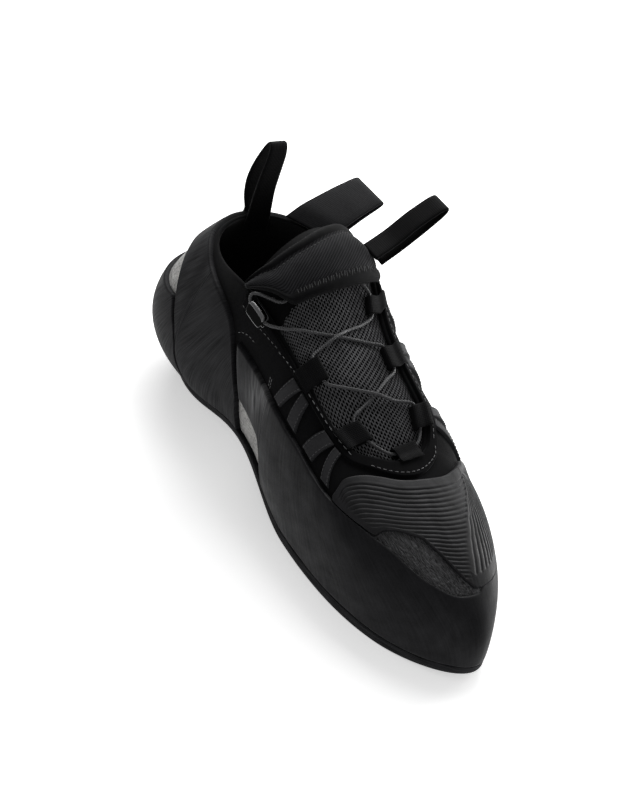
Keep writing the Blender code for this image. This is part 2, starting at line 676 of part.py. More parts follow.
def sole_sections(margin, bottom, top, round_edge, stations):
    """Sections across the foot between two heights, inside an outline round the sole."""
    dense = np.linspace(0, 1, 4001)
    edge = wall(dense, np.zeros_like(dense))[:, :2] + outward(dense)[:, :2] * margin
    tip = int(np.argmax(edge[:, 0]))
    edge = np.roll(edge, -tip, axis=0)
    heel = int(np.argmin(edge[:, 0]))
    lateral = edge[:heel + 1][::-1]
    medial = edge[heel:]
    turn = (1 - np.cos(np.linspace(0, np.pi, stations))) / 2
    sections = []
    for x in edge[heel, 0] + SOLE_BLUNT + turn * (edge[0, 0] - edge[heel, 0] - 2 * SOLE_BLUNT):
        out = np.interp(x, lateral[:, 0], lateral[:, 1])
        into = np.interp(x, medial[:, 0], medial[:, 1])
        low = float(bottom(x))
        inset = min(round_edge, (into - out) / 4)
        sections.append(np.array([
            (x, out, float(top(x))),
            (x, out, low + round_edge),
            (x, out + inset, low),
            (x, (out + into) / 2, low),
            (x, into - inset, low),
            (x, into, low + round_edge),
            (x, into, float(top(x))),
            (x, (out + into) / 2, float(top(x))),
        ]))
    return sections


def make_outsole():
    sections = sole_sections(SOLE_MARGIN, sole_bottom, sole_top, SOLE_EDGE_ROUND, SOLE_STEPS)
    loft("outsole", sections, "sole_rubber")


def make_insole():
    def under(x):
        return feather(x) + FEATHER_GAP

    def over(x):
        return under(x) + INSOLE

    loft("insole", sole_sections(-INSOLE_INSET, under, over, INSOLE_EDGE_ROUND, INSOLE_STEPS), "board")


def make_upper():
    u = even_columns(UPPER_GRID.columns, UPPER_MIDDLE)
    v = np.linspace(0, 1, UPPER_GRID.rows)
    sheet("upper", wall(u[None, :], v[:, None]), UPPER_WALL, "suede", ring=True)


def make_rubber():
    rise = RUBBER_GAP + RUBBER
    rand = RAND_WAIST + RAND_FRONT + mirrored(RAND_WAIST)
    sheet("front_rand", strip_grid(rand, RAND_MESH, rise), RUBBER, "rand_rubber")
    sheet("toe_patch", strip_grid(TOE_PATCH_CUTS, TOE_PATCH_MESH, rise), RUBBER, "toe_rubber")
    band = HEEL_BAND_SIDE + (HEEL_BAND_BACK,) + round_the_heel(HEEL_BAND_SIDE)
    sheet("heel_band", strip_grid(band, HEEL_BAND_MESH, rise), RUBBER, "heel_rubber")
    cup = HEEL_CUP_SIDE + (HEEL_CUP_BACK,) + round_the_heel(HEEL_CUP_SIDE)
    sheet("heel_cup", strip_grid(cup, HEEL_CUP_MESH, rise), RUBBER, "heel_rubber")


def make_eyestay():
    cuts = EYESTAY_SIDE + (EYESTAY_TOE,) + mirrored(EYESTAY_SIDE)
    sheet("eyestay", strip_grid(cuts, EYESTAY_MESH, SEAT_GAP + EYESTAY), EYESTAY, "binding")


def make_web_strips():
    for strip in STRIPS:
        cuts = (
            Cut(strip.low_from, strip.low_v, strip.top_from, strip.top_v),
            Cut(strip.low_to, strip.low_v, strip.top_to, strip.top_v),
        )
        sheet(strip.name, strip_grid(cuts, STRIP_MESH, SEAT_GAP + WEBBING), WEBBING, "webbing")


def make_tongue():
    along = np.linspace(0, 1, TONGUE_GRID.columns)
    tucks = np.array(TONGUE_TUCKS)
    across = np.concatenate([-tucks[::-1], np.linspace(-1, 1, TONGUE_GRID.rows), tucks])
    sheet("tongue", tongue_point(along[None, :], across[:, None]), TONGUE, "spacer_mesh")


def make_flap():
    share = np.linspace(0, 1, FLAP_GRID.columns)[None, :]
    across = np.linspace(FLAP_EDGES[0].across, FLAP_EDGES[-1].across, FLAP_GRID.rows)[:, None]
    share, across = np.broadcast_arrays(share, across)
    sheet("tongue_flap", flap_point(share, across), FLAP, "twill")


def loop_tip(loop):
    """Place on the tongue where a loop ends, far enough past the lace for its own bend."""
    root = np.array([loop.root_along, loop.root_across])
    lace = np.array([loop.lace_along, loop.lace_across])
    seat = tongue_point(*root)
    reach = np.linalg.norm(tongue_point(*lace) - seat) + LACE / 2 + LOOP_TIP_ROOM + LOOP_WEB
    tip = lace
    for _ in range(TIP_ROUNDS):
        tip = root + (tip - root) * reach / np.linalg.norm(tongue_point(*tip) - seat)
    return root, tip


def in_plane(direction, normal):
    """Part of a direction that lies square to the normals, at unit length."""
    return unit(direction - normal * np.sum(direction * normal, axis=-1, keepdims=True))


def make_lace_loops():
    height = SEAT_GAP + 2 * LOOP_WEB + LACE + 2 * LOOP_PLAY
    bends = columns_of(LOOP_BENDS)
    for loop in LACE_LOOPS:
        root, tip = loop_tip(loop)
        place = root + bends["reach"][:, None] * (tip - root)
        over = over_tongue(place[:, 0], place[:, 1], SEAT_GAP + bends["height"] * (height - SEAT_GAP))
        wall_height = np.linalg.norm(wall(loop.u, 1.0) - wall(loop.u, NEAR_RIM)) / (1 - NEAR_RIM)
        seat_u = np.full(2, loop.u)
        seat_v = np.array([1 - LOOP_SEAT / wall_height, 1.0])
        on_wall = skin(seat_u, seat_v, SEAT_GAP + EYESTAY + LOOP_PLAY + LOOP_WEB)
        normals = np.vstack([wall_frame(seat_u, seat_v)[0], tongue_normal(place[:, 0], place[:, 1])])
        sides = -in_plane(wall_frame(loop.u, 1.0)[1], normals) * loop.width / 2
        band = smooth_path(np.column_stack([np.vstack([on_wall, over]), sides]), LOOP_STEPS)
        strap(loop.name, band[:, :3], band[:, 3:], LOOP_WEB, "webbing")


def hook_frame():
    normal, along, upward = wall_frame(HOOK_U, HOOK_V)
    return wall(HOOK_U, HOOK_V), normal, along, upward


def make_hook():
    middle, normal, along, upward = hook_frame()
    corners = [middle + upward * corner.reach + normal * corner.height for corner in HOOK_PROFILE]
    half = along * HOOK_LENGTH / 2
    loft("lace_hook", [np.array(corners) - half, np.array(corners) + half], "hook_plastic")


def lace_pass(stop):
    """Straight run of the lace through a loop, with a little before and after it."""
    loop = next(row for row in LACE_LOOPS if row.name == stop.loop)
    lift = SEAT_GAP + LOOP_WEB + LOOP_PLAY + LACE / 2
    middle = over_tongue(loop.lace_along, loop.lace_across, lift)
    flat = tongue_normal(loop.lace_along, loop.lace_across)
    forward = in_plane(wall_frame(loop.u, 1.0)[1], flat)
    half = forward * stop.turn * (loop.width / 2 + LACE)
    return [middle - half, middle, middle + half]


def lace_route():
    """Points of the lace from the hook through all loops and back to the hook."""
    base, normal, along, upward = hook_frame()
    channel = base + upward * HOOK_LACE.reach + normal * HOOK_LACE.height
    half = along * (HOOK_LENGTH / 2 + LACE)
    split = along * SEAT_GAP / 2
    points = [channel - split, channel - half]
    for stop, following in zip(LACE_STOPS[1:-1], LACE_STOPS[2:]):
        if stop.loop:
            points += lace_pass(stop)
            continue
        here = np.array(stop[2:])
        there = here if following.loop else np.array(following[2:])
        distance = np.linalg.norm(over_tongue(*there) - over_tongue(*here))
        count = int(distance // LACE_PITCH) + 1
        points += [over_tongue(*(here + (there - here) * i / count)) for i in range(count)]
    for turn in HOOK_TURNS:
        points.append(base + along * turn.along + upward * turn.reach + normal * turn.height)
    return points + [channel + half, channel + split]


def make_lace():
    path = smooth_path(np.array(lace_route()), LACE_STEPS)
    data = bpy.data.curves.new("lace", "CURVE")
    data.dimensions = "3D"
    data.bevel_depth = LACE / 2 * MM
    data.bevel_resolution = 2
    data.use_fill_caps = True
    cord = data.splines.new("POLY")
    cord.points.add(len(path) - 1)
    for point, place in zip(cord.points, path * MM):
        point.co = (*place, 1.0)
    add_part("lace", data, "cord")


def fold_path(seat, folds):
    """Centre points and half widths of a pull loop, from its seat."""
    table = columns_of(folds)
    return seat + np.stack([table["forward"], table["medial"], table["up"]], axis=1), table["half"]


def make_heel_tab():
    path, half = fold_path(wall(HEEL_U, 1.0), HEEL_TAB)
    seats = np.array(HEEL_TAB_SEATS)
    on_band = skin(np.full(len(seats), HEEL_TAB_U), seats, RUBBER_GAP + RUBBER + SEAT_GAP / 2 + PULL_WEB)
    path = np.vstack([on_band, path])
    half = np.concatenate([np.full(len(seats), half[0]), half])
    band = smooth_path(np.column_stack([path, half]), STRAP_STEPS)
    strap("heel_tab", band[:, :3], band[:, 3:] * MEDIAL, PULL_WEB, "webbing")


def make_elastic_loop():
    front, middle, rear = (wall(u, 1.0) for u in ELASTIC_U)
    path, half = fold_path(middle, ELASTIC_LOOP)
    table = columns_of(ELASTIC_LOOP)
    free = np.clip(table["medial"] / table["medial"].max(), 0, 1)[:, None]
    sides = (1 - free) * (rear - front) / 2 - free * FORWARD * half[:, None]
    band = smooth_path(np.column_stack([path, sides]), STRAP_STEPS)
    strap("elastic_loop", band[:, :3], band[:, 3:], ELASTIC, "elastic")


def make_tongue_loop():
    ends = [flap_point(np.array(share), np.array(across)) for share, across in TONGUE_LOOP_SEATS]
    rise = (SEAT_GAP + PULL_WEB) * tongue_normal(1.0, TONGUE_LOOP_SEATS[0][1])
    path, half = fold_path(ends[0] + rise, TONGUE_LOOP)
    path = np.vstack([ends[0] + rise, path, ends[1] + rise])
    path = smooth_path(path, STRAP_STEPS)
    sides = np.tile(-FORWARD * half[0], (STRAP_STEPS, 1))
    strap("tongue_loop", path, sides, PULL_WEB, "webbing")


def place_on_floor():
    """Move the shoe so that the origin is on the floor under the middle of its box."""
    bpy.context.view_layer.update()
    graph = bpy.context.evaluated_depsgraph_get()
    corners = []
    for part in bpy.data.collections[SHOE].objects:
        solid = part.evaluated_get(graph)
        data = solid.to_mesh()
        points = np.empty(3 * len(data.vertices), dtype=np.float32)
        data.vertices.foreach_get("co", points)
        corners.append(points.reshape(-1, 3).min(axis=0))
        corners.append(points.reshape(-1, 3).max(axis=0))
        solid.to_mesh_clear()
    middle = (np.min(corners, axis=0) + np.max(corners, axis=0)) / 2
    origin = bpy.data.objects.new("shoe_origin", None)
    bpy.data.collections[SHOE].objects.link(origin)
    origin.location = (-middle[0], -middle[1], 0.0)
    for part in bpy.data.collections[SHOE].objects:
        if part is not origin:
            part.parent = origin


def main():
    clear_scene()
    shoe = bpy.data.collections.new(SHOE)
    bpy.context.scene.collection.children.link(shoe)
    make_outsole()
    make_insole()
    make_upper()
    make_rubber()
    make_eyestay()
    make_web_strips()
    make_tongue()
    make_flap()
    make_lace_loops()
    make_hook()
    make_lace()
    make_heel_tab()
    make_elastic_loop()
    make_tongue_loop()
    place_on_floor()


main()
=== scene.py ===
"""Looks of the climbing shoe: fine surfaces, materials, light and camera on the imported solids.

The working frame is the one the solids were drawn in: millimetres, X from heel to toe, Y to the
medial side and Z up from the floor. SHOE_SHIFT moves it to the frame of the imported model.
wall(u, v) is the outer face of the upper: u runs round the last from the toe over the lateral side
and the heel back to the toe, v from the sole (0) to the rim (1).
"""
import math
from collections import namedtuple

import bmesh
import bpy
import numpy as np
from mathutils import Matrix


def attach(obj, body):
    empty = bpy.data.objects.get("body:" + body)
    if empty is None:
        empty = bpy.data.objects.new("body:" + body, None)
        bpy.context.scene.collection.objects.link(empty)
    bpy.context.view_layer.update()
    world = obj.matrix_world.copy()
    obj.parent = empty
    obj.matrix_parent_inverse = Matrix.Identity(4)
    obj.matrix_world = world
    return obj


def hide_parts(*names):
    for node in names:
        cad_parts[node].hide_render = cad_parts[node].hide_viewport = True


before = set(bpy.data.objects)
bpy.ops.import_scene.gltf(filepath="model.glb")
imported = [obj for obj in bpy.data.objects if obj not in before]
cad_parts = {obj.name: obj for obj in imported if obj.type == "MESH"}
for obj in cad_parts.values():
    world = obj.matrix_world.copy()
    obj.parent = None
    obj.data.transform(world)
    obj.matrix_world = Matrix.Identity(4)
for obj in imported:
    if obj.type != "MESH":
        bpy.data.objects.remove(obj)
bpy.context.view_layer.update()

MM = 0.001
SHOE_SHIFT = np.array([-122.118, -9.116, 0.0])
UP = np.array([0.0, 0.0, 1.0])
MEDIAL = np.array([0.0, 1.0, 0.0])
FORWARD = np.array([1.0, 0.0, 0.0])

# Dimensions of the solids in millimetres
UPPER_WALL = 2.0
SEAT_GAP = 0.4
RUBBER_RISE = 2.35
WEBBING_RISE = 1.4
EYESTAY_RISE = 1.6
EYESTAY = 1.2
TONGUE_GAP = 0.7
TONGUE = 3.0
FLAP = 2.2
FEATHER_GAP = 0.3
SOLE_MARGIN = 2.3
INSOLE = 1.5
INSOLE_INSET = 2.8
LACE = 1.5
LOOP_WEB = 0.8
PULL_WEB = 1.4
ELASTIC = 1.2
RUBBER_FOOT = 0.002
HEEL_U = 0.503
STRAP_STEPS = 16
LOOP_STEPS = 13
EASING_ROUNDS = 6
PATH_FINENESS = 4
LACE_STEPS = 70
WALK_STEPS = 2001
WALL_NUDGE = 1e-4
TONGUE_NUDGE = 1e-3

# Sole line along the foot: flat under heel and ball, raised between them
Sole = namedtuple("Sole", "heel_back heel_front ball_back ball_front toe arch spring heel_round")
SOLE = Sole(18.0, 36.0, 150.0, 214.0, 245.0, 11.0, 3.0, 5.0)
SOLE_STATIONS = (0.0, 40.0, 95.0, 140.0, 200.0, 245.0)
SOLE_THICKNESS = (4.0, 4.0, 2.8, 4.2, 4.5, 4.0)

# One row for each rib of the last. A rib leaves the sole at its foot and ends at the rim.
# bulge and rise lead it out of the sole, shoulder and drop lead it into the rim.
Rib = namedtuple("Rib", "name foot_x foot_y bulge rise rim_x rim_y rim_z shoulder drop")
RIBS = (
    Rib("toe", 245, 3, 1, 22, 168, 3, 54, 50, 11),
    Rib("toe_lateral", 231, -16, 3, 22, 164, -10, 54, 38, 9),
    Rib("forefoot_lateral", 205, -28, 5, 22, 158, -17, 54, 28, 8),
    Rib("ball_lateral", 172, -32, 6, 22, 146, -22, 58, 18, 8),
    Rib("instep_lateral", 132, -29, 9, 24, 123, -26, 68, 10, 14),
    Rib("waist_lateral", 97, -24, 10, 26, 98, -29, 77, 6, 20),
    Rib("ankle_lateral", 67, -21, 18, 28, 74, -33, 83, 5, 24),
    Rib("heel_lateral", 41, -19, 27, 24, 48, -29, 79, 12, 26),
    Rib("heel_corner_lateral", 21, -13, 29, 22, 28, -18, 80, 20, 26),
    Rib("heel", 14, 0, 27, 22, 21, 0, 82, 20, 26),
    Rib("heel_corner_medial", 21, 13, 28, 22, 28, 18, 82, 19, 26),
    Rib("heel_medial", 41, 19, 24, 24, 48, 29, 82, 11, 26),
    Rib("ankle_medial", 66, 18, 17, 28, 76, 30, 88, 10, 18),
    Rib("waist_medial", 98, 21, 13, 28, 101, 24, 81, 20, 8),
    Rib("instep_medial", 132, 27, 10, 26, 128, 21, 71, 24, 7),
    Rib("ball_medial", 176, 35, 3, 22, 151, 21, 62, 23, 7),
    Rib("forefoot_medial", 210, 27, 2, 22, 161, 17, 57, 27, 8),
    Rib("toe_medial", 236, 14, 1, 22, 166, 11, 55, 41, 9),
)
FOOT_SHARE = 0.6

# Strips of the wall. Each row is a cut across the strip, from its low edge to its top edge.
Cut = namedtuple("Cut", "low_u low_v top_u top_v")
RAND_WAIST = (
    Cut(0.3030, 0.310, 0.3265, 0.688),
    Cut(0.2880, 0.300, 0.3050, 0.675),
    Cut(0.2700, 0.300, 0.2830, 0.664),
    Cut(0.2560, 0.300, 0.2640, 0.659),
    Cut(0.2495, 0.240, 0.2545, 0.657),
    Cut(0.2470, 0.120, 0.2500, 0.656),
    Cut(0.2460, RUBBER_FOOT, 0.2470, 0.656),
)
RAND_FRONT = (
    Cut(0.213, RUBBER_FOOT, 0.213, 0.662),
    Cut(0.180, RUBBER_FOOT, 0.180, 0.672),
    Cut(0.139, RUBBER_FOOT, 0.139, 0.665),
    Cut(0.095, RUBBER_FOOT, 0.095, 0.660),
    Cut(0.045, RUBBER_FOOT, 0.045, 0.620),
    Cut(0.033, RUBBER_FOOT, 0.033, 0.600),
    Cut(0.018, RUBBER_FOOT, 0.018, 0.500),
    Cut(0.006, RUBBER_FOOT, 0.006, 0.440),
    Cut(-0.010, RUBBER_FOOT, -0.010, 0.448),
    Cut(-0.070, RUBBER_FOOT, -0.070, 0.470),
    Cut(-0.130, RUBBER_FOOT, -0.130, 0.500),
    Cut(-0.200, RUBBER_FOOT, -0.200, 0.570),
)
TOE_PATCH_CUTS = (
    Cut(0.0930, 0.658, 0.0930, 0.690),
    Cut(0.0800, 0.649, 0.0860, 0.745),
    Cut(0.0680, 0.639, 0.0770, 0.820),
    Cut(0.0550, 0.629, 0.0580, 0.875),
    Cut(0.0440, 0.622, 0.0400, 0.905),
    Cut(0.0300, 0.680, 0.0250, 0.920),
    Cut(0.0190, 0.705, 0.0150, 0.923),
    Cut(0.0120, 0.695, 0.0080, 0.925),
    Cut(0.0085, 0.645, 0.0030, 0.925),
    Cut(0.0055, 0.570, 0.0000, 0.922),
    Cut(0.0030, 0.500, -0.0040, 0.915),
    Cut(0.0000, 0.453, -0.0080, 0.905),
    Cut(-0.0100, 0.455, -0.0150, 0.888),
    Cut(-0.0350, 0.464, -0.0370, 0.848),
    Cut(-0.0600, 0.473, -0.0620, 0.797),
    Cut(-0.0850, 0.483, -0.0900, 0.735),
    Cut(-0.1120, 0.497, -0.1130, 0.560),
)
HEEL_BAND_SIDE = (
    Cut(0.3120, RUBBER_FOOT, 0.3095, 0.275),
    Cut(0.3220, RUBBER_FOOT, 0.3180, 0.430),
    Cut(0.3330, RUBBER_FOOT, 0.3290, 0.605),
    Cut(0.3500, RUBBER_FOOT, 0.3480, 0.775),
    Cut(0.3830, RUBBER_FOOT, 0.3800, 0.885),
    Cut(0.4060, RUBBER_FOOT, 0.4050, 0.937),
    Cut(0.4070, 0.200, 0.4075, 0.941),
    Cut(0.4080, 0.385, 0.4100, 0.945),
    Cut(0.4125, 0.488, 0.4160, 0.953),
    Cut(0.4230, 0.600, 0.4280, 0.971),
    Cut(0.4325, 0.682, 0.4400, 0.985),
    Cut(0.4480, 0.780, 0.4600, 0.990),
    Cut(0.4680, 0.840, 0.4780, 0.990),
)
HEEL_BAND_BACK = Cut(HEEL_U, 0.850, HEEL_U, 0.990)
HEEL_CUP_SIDE = (
    Cut(0.4090, RUBBER_FOOT, 0.4095, 0.375),
    Cut(0.4140, RUBBER_FOOT, 0.4140, 0.475),
    Cut(0.4250, RUBBER_FOOT, 0.4250, 0.588),
    Cut(0.4345, RUBBER_FOOT, 0.4345, 0.656),
    Cut(0.4420, RUBBER_FOOT, 0.4420, 0.645),
    Cut(0.4540, RUBBER_FOOT, 0.4540, 0.632),
    Cut(0.4700, RUBBER_FOOT, 0.4700, 0.625),
)
HEEL_CUP_BACK = Cut(HEEL_U, RUBBER_FOOT, HEEL_U, 0.620)
EYESTAY_SIDE = (
    Cut(0.345, 0.900, 0.345, 0.994),
    Cut(0.300, 0.935, 0.300, 0.994),
    Cut(0.240, 0.945, 0.240, 0.994),
    Cut(0.130, 0.945, 0.130, 0.994),
    Cut(0.080, 0.930, 0.080, 0.994),
    Cut(0.030, 0.938, 0.030, 0.994),
)
EYESTAY_TOE = Cut(0.0, 0.938, 0.0, 0.994)

# Webbing strips between rand and eyestay, in pairs that meet at a lace loop
Strip = namedtuple("Strip", "name low_from low_to low_v top_from top_to top_v")
STRIPS = (
    Strip("web_lateral_1", 0.2440, 0.2290, 0.692, 0.2340, 0.2140, 0.938),
    Strip("web_lateral_2", 0.2090, 0.1880, 0.702, 0.2110, 0.1940, 0.938),
    Strip("web_lateral_3", 0.1680, 0.1440, 0.704, 0.1520, 0.1240, 0.938),
    Strip("web_lateral_4", 0.1190, 0.1030, 0.698, 0.1210, 0.1030, 0.932),
    Strip("web_medial_1", -0.3290, -0.3130, 0.735, -0.3190, -0.3030, 0.902),
    Strip("web_medial_2", -0.2930, -0.2770, 0.715, -0.3010, -0.2850, 0.922),
    Strip("web_medial_3", -0.2560, -0.2400, 0.695, -0.2470, -0.2310, 0.938),
    Strip("web_medial_4", -0.2200, -0.2040, 0.670, -0.2290, -0.2130, 0.938),
    Strip("web_medial_5", -0.1700, -0.1520, 0.590, -0.1490, -0.1320, 0.938),
    Strip("web_medial_6", -0.1250, -0.1110, 0.600, -0.1300, -0.1140, 0.938),
)

# Tongue: where its sections hang on both sides of the throat, from the toe to the ankle.
# tuck is how far a section runs down inside the wall, crown how strongly it arches over the foot
# and lean how much more of that arch lies on the medial side.
Section = namedtuple("Section", "along lateral_u medial_u edge_v tuck crown lean")
TONGUE_SECTIONS = (
    Section(0.00, 0.025, -0.022, 0.900, 0.05, 0.26, 0.00),
    Section(0.07, 0.052, -0.045, 0.955, 0.08, 0.26, 0.00),
    Section(0.15, 0.085, -0.085, 1.000, 0.10, 0.26, 0.00),
    Section(0.40, 0.170, -0.150, 1.000, 0.12, 0.24, 0.00),
    Section(0.70, 0.258, -0.245, 1.000, 0.12, 0.26, 0.00),
    Section(1.00, 0.357, -0.390, 1.000, 0.12, 0.44, 0.40),
)

# Flap of the tongue: its lower edge and its top, from the lateral to the medial side
FlapEdge = namedtuple("FlapEdge", "across start finish")
FLAP_EDGES = (
    FlapEdge(-0.955, 0.970, 0.995),
    FlapEdge(-0.700, 0.890, 0.985),
    FlapEdge(-0.500, 0.828, 0.975),
    FlapEdge(-0.120, 0.832, 0.970),
    FlapEdge(0.310, 0.840, 0.980),
    FlapEdge(0.620, 0.848, 0.990),
    FlapEdge(0.955, 0.862, 0.985),
)
FLAP_LIFT = 3.4

# Lace loops: webbing folded round the lace. A loop leaves the rim at u and its root on the tongue,
# and the lace runs through it at its last two columns.
LaceLoop = namedtuple("LaceLoop", "name u width root_along root_across lace_along lace_across")
LACE_LOOPS = (
    LaceLoop("lace_loop_lateral_1", 0.2200, 11.0, 0.570, -1.00, 0.590, -0.690),
    LaceLoop("lace_loop_lateral_2", 0.1210, 10.0, 0.255, -1.00, 0.265, -0.490),
    LaceLoop("lace_loop_medial_1", -0.3000, 9.0, 0.805, 1.00, 0.805, 0.790),
    LaceLoop("lace_loop_medial_2", -0.2300, 11.0, 0.650, 1.00, 0.645, 0.775),
    LaceLoop("lace_loop_medial_3", -0.1310, 11.0, 0.330, 1.00, 0.310, 0.810),
    LaceLoop("lace_loop_toe", -0.0050, 12.0, 0.018, 0.20, 0.062, 0.200),
)
LOOP_SEAT = 1.6
LOOP_PLAY = 0.5
LOOP_TIP_ROOM = 1.5
TIP_ROUNDS = 4
RIM_SHARE = 0.1

# Section of a loop: share of its reach over the tongue, and height as a share of the loop's own
LoopBend = namedtuple("LoopBend", "reach height")
LOOP_BENDS = (
    LoopBend(0.30, 1.00),
    LoopBend(0.65, 1.00),
    LoopBend(0.94, 0.96),
    LoopBend(1.00, 0.66),
    LoopBend(1.00, 0.34),
    LoopBend(0.94, 0.04),
    LoopBend(0.65, 0.00),
    LoopBend(0.38, 0.00),
)

# Lace: one elastic loop that hangs on the hook. A stop is a pass through a loop, in the direction
# of u (1) or against it (-1), or a place on the tongue with the height of the lace's middle above it.
Stop = namedtuple("Stop", "loop turn along across lift")
LACE_LOW = 1.30
LACE_OVER = 3.25
LACE_STOPS = (
    Stop("lace_hook", -1, 0.0, 0.0, 0.0),
    Stop("", 0, 0.772, -0.800, 4.40),
    Stop("", 0, 0.745, -0.520, 2.30),
    Stop("", 0, 0.733, -0.358, LACE_LOW),
    Stop("", 0, 0.717, -0.040, LACE_LOW),
    Stop("", 0, 0.708, 0.225, LACE_LOW),
    Stop("", 0, 0.700, 0.480, LACE_LOW),
    Stop("lace_loop_medial_2", 1, 0.0, 0.0, 0.0),
    Stop("", 0, 0.547, 0.450, LACE_LOW),
    Stop("", 0, 0.467, 0.125, LACE_LOW),
    Stop("", 0, 0.405, -0.158, LACE_LOW),
    Stop("", 0, 0.368, -0.390, 2.40),
    Stop("lace_loop_lateral_2", -1, 0.0, 0.0, 0.0),
    Stop("", 0, 0.160, -0.455, 1.90),
    Stop("", 0, 0.100, -0.330, 2.20),
    Stop("lace_loop_toe", -1, 0.0, 0.0, 0.0),
    Stop("", 0, 0.150, 0.800, 2.60),
    Stop("lace_loop_medial_3", -1, 0.0, 0.0, 0.0),
    Stop("", 0, 0.430, 0.467, LACE_LOW),
    Stop("", 0, 0.463, 0.121, LACE_OVER),
    Stop("", 0, 0.487, -0.130, LACE_LOW),
    Stop("", 0, 0.503, -0.358, LACE_LOW),
    Stop("lace_loop_lateral_1", 1, 0.0, 0.0, 0.0),
    Stop("", 0, 0.680, -0.390, LACE_LOW),
    Stop("", 0, 0.715, -0.055, LACE_OVER),
    Stop("", 0, 0.737, 0.183, LACE_LOW),
    Stop("", 0, 0.752, 0.480, LACE_LOW),
    Stop("lace_loop_medial_1", -1, 0.0, 0.0, 0.0),
    Stop("", 0, 0.880, 0.480, 1.80),
    Stop("", 0, 0.886, 0.150, LACE_LOW),
    Stop("", 0, 0.880, -0.200, LACE_LOW),
    Stop("", 0, 0.862, -0.480, LACE_LOW),
    Stop("", 0, 0.850, -0.660, 2.60),
    Stop("lace_hook", -1, 0.0, 0.0, 0.0),
)
LACE_PITCH = 4.0

# Hook: a channel that is open to the outer side. reach is towards the throat, height off the wall.
HOOK_U = 0.316
HOOK_V = 0.992
HOOK_LENGTH = 10.0
HookCorner = namedtuple("HookCorner", "reach height")
HOOK_PROFILE = (
    HookCorner(-3.4, 1.95), HookCorner(2.8, 1.95), HookCorner(3.6, 2.80), HookCorner(3.6, 5.90),
    HookCorner(2.7, 6.85), HookCorner(-2.6, 6.85), HookCorner(-3.2, 6.30), HookCorner(-2.6, 5.80),
    HookCorner(2.5, 5.80), HookCorner(2.5, 2.95), HookCorner(-3.4, 2.95),
)
HOOK_LACE = HookCorner(0.5, 4.38)

# Way of the lace round the heel end of the hook, beside its channel
HookTurn = namedtuple("HookTurn", "along reach height")
HOOK_TURNS = (HookTurn(6.2, 6.0, 4.2), HookTurn(8.6, 3.4, 4.4))

# Pull loops: each row leads the outer face of the band from its seat over the tip and back.
# forward, medial and up are measured from the seat, half is half the width of the band.
Fold = namedtuple("Fold", "forward medial up half")
HEEL_TAB_U = 0.513
HEEL_TAB_SEATS = (0.950, 0.988)
HEEL_TAB_FOOT = 0.920
HEEL_TAB = (
    Fold(-2.7, 3.4, 8, 5.6),
    Fold(-2.4, 1.6, 17, 5.2),
    Fold(-1.6, 2.0, 25, 5.0),
    Fold(-0.4, 3.6, 33, 4.7),
    Fold(2.0, 4.6, 40, 4.2),
    Fold(4.8, 3.4, 36, 4.7),
    Fold(5.4, 1.8, 25, 5.2),
    Fold(5.2, 1.4, 16, 5.4),
    Fold(4.6, 2.2, 9, 5.8),
    Fold(4.0, 3.0, 2, 6.2),
    Fold(3.5, 3.2, -6, 6.2),
)
ELASTIC_U = (0.592, 0.565, 0.540)
ELASTIC_LOOP = (
    Fold(0, 1.2, 1.6, 11),
    Fold(0, 5.5, 4.4, 11),
    Fold(-2, 17, 9.5, 11),
    Fold(-4, 29, 14.0, 11),
    Fold(-4, 32, 16.0, 11),
    Fold(-4, 30, 18.0, 11),
    Fold(-2, 17, 13.5, 11),
    Fold(0, 3.8, 7.7, 11),
    Fold(0, -2.6, 1.8, 11),
)
TONGUE_LOOP_SEATS = ((0.450, 0.930), (0.450, 0.740))
TONGUE_LOOP = (
    Fold(0, 9, 7, 5.8),
    Fold(0, 19, 16, 5.8),
    Fold(0, 28, 25, 5.8),
    Fold(0, 28.5, 28.5, 5.8),
    Fold(0, 25, 28, 5.8),
    Fold(0, 14, 20, 5.8),
    Fold(0, 4.5, 11, 5.8),
)


def unit(vectors):
    return vectors / np.linalg.norm(vectors, axis=-1, keepdims=True)


def columns_of(rows):
    """Turn a table into one array for each named column."""
    return {name: np.array([getattr(row, name) for row in rows]) for name in rows[0]._fields}


def walked(points):
    """Distance of each point of a path from the path's start."""
    return np.concatenate([[0.0], np.cumsum(np.linalg.norm(np.diff(points, axis=0), axis=1))])


def from_toe(u):
    """u counted from the toe, negative on the medial side."""
    return np.where(u > 0.5, u - 1, u)


def ring_bend(knots, values):
    """Second derivatives of the periodic cubic spline through the values."""
    count = len(values)
    step = np.diff(knots)
    system = np.zeros((count, count))
    right = np.zeros(count)
    for i in range(count):
        following = (i + 1) % count
        system[i, i - 1] += step[i - 1]
        system[i, i] += 2 * (step[i - 1] + step[i])
        system[i, following] += step[i]
        rise_after = (values[following] - values[i]) / step[i]
        rise_before = (values[i] - values[i - 1]) / step[i - 1]
        right[i] = 6 * (rise_after - rise_before)
    return np.linalg.solve(system, right)


def ring_spline(knots, values, bend, at):
    """Smooth closed curve through the values."""
    count = len(values)
    step = np.diff(knots)
    at = np.mod(at, 1.0)
    k = np.clip(np.searchsorted(knots, at, side="right") - 1, 0, count - 1)
    after = (k + 1) % count
    a = (knots[k + 1] - at) / step[k]
    b = (at - knots[k]) / step[k]
    cubic = (a**3 - a) * bend[k] + (b**3 - b) * bend[after]
    return a * values[k] + b * values[after] + cubic * step[k]**2 / 6


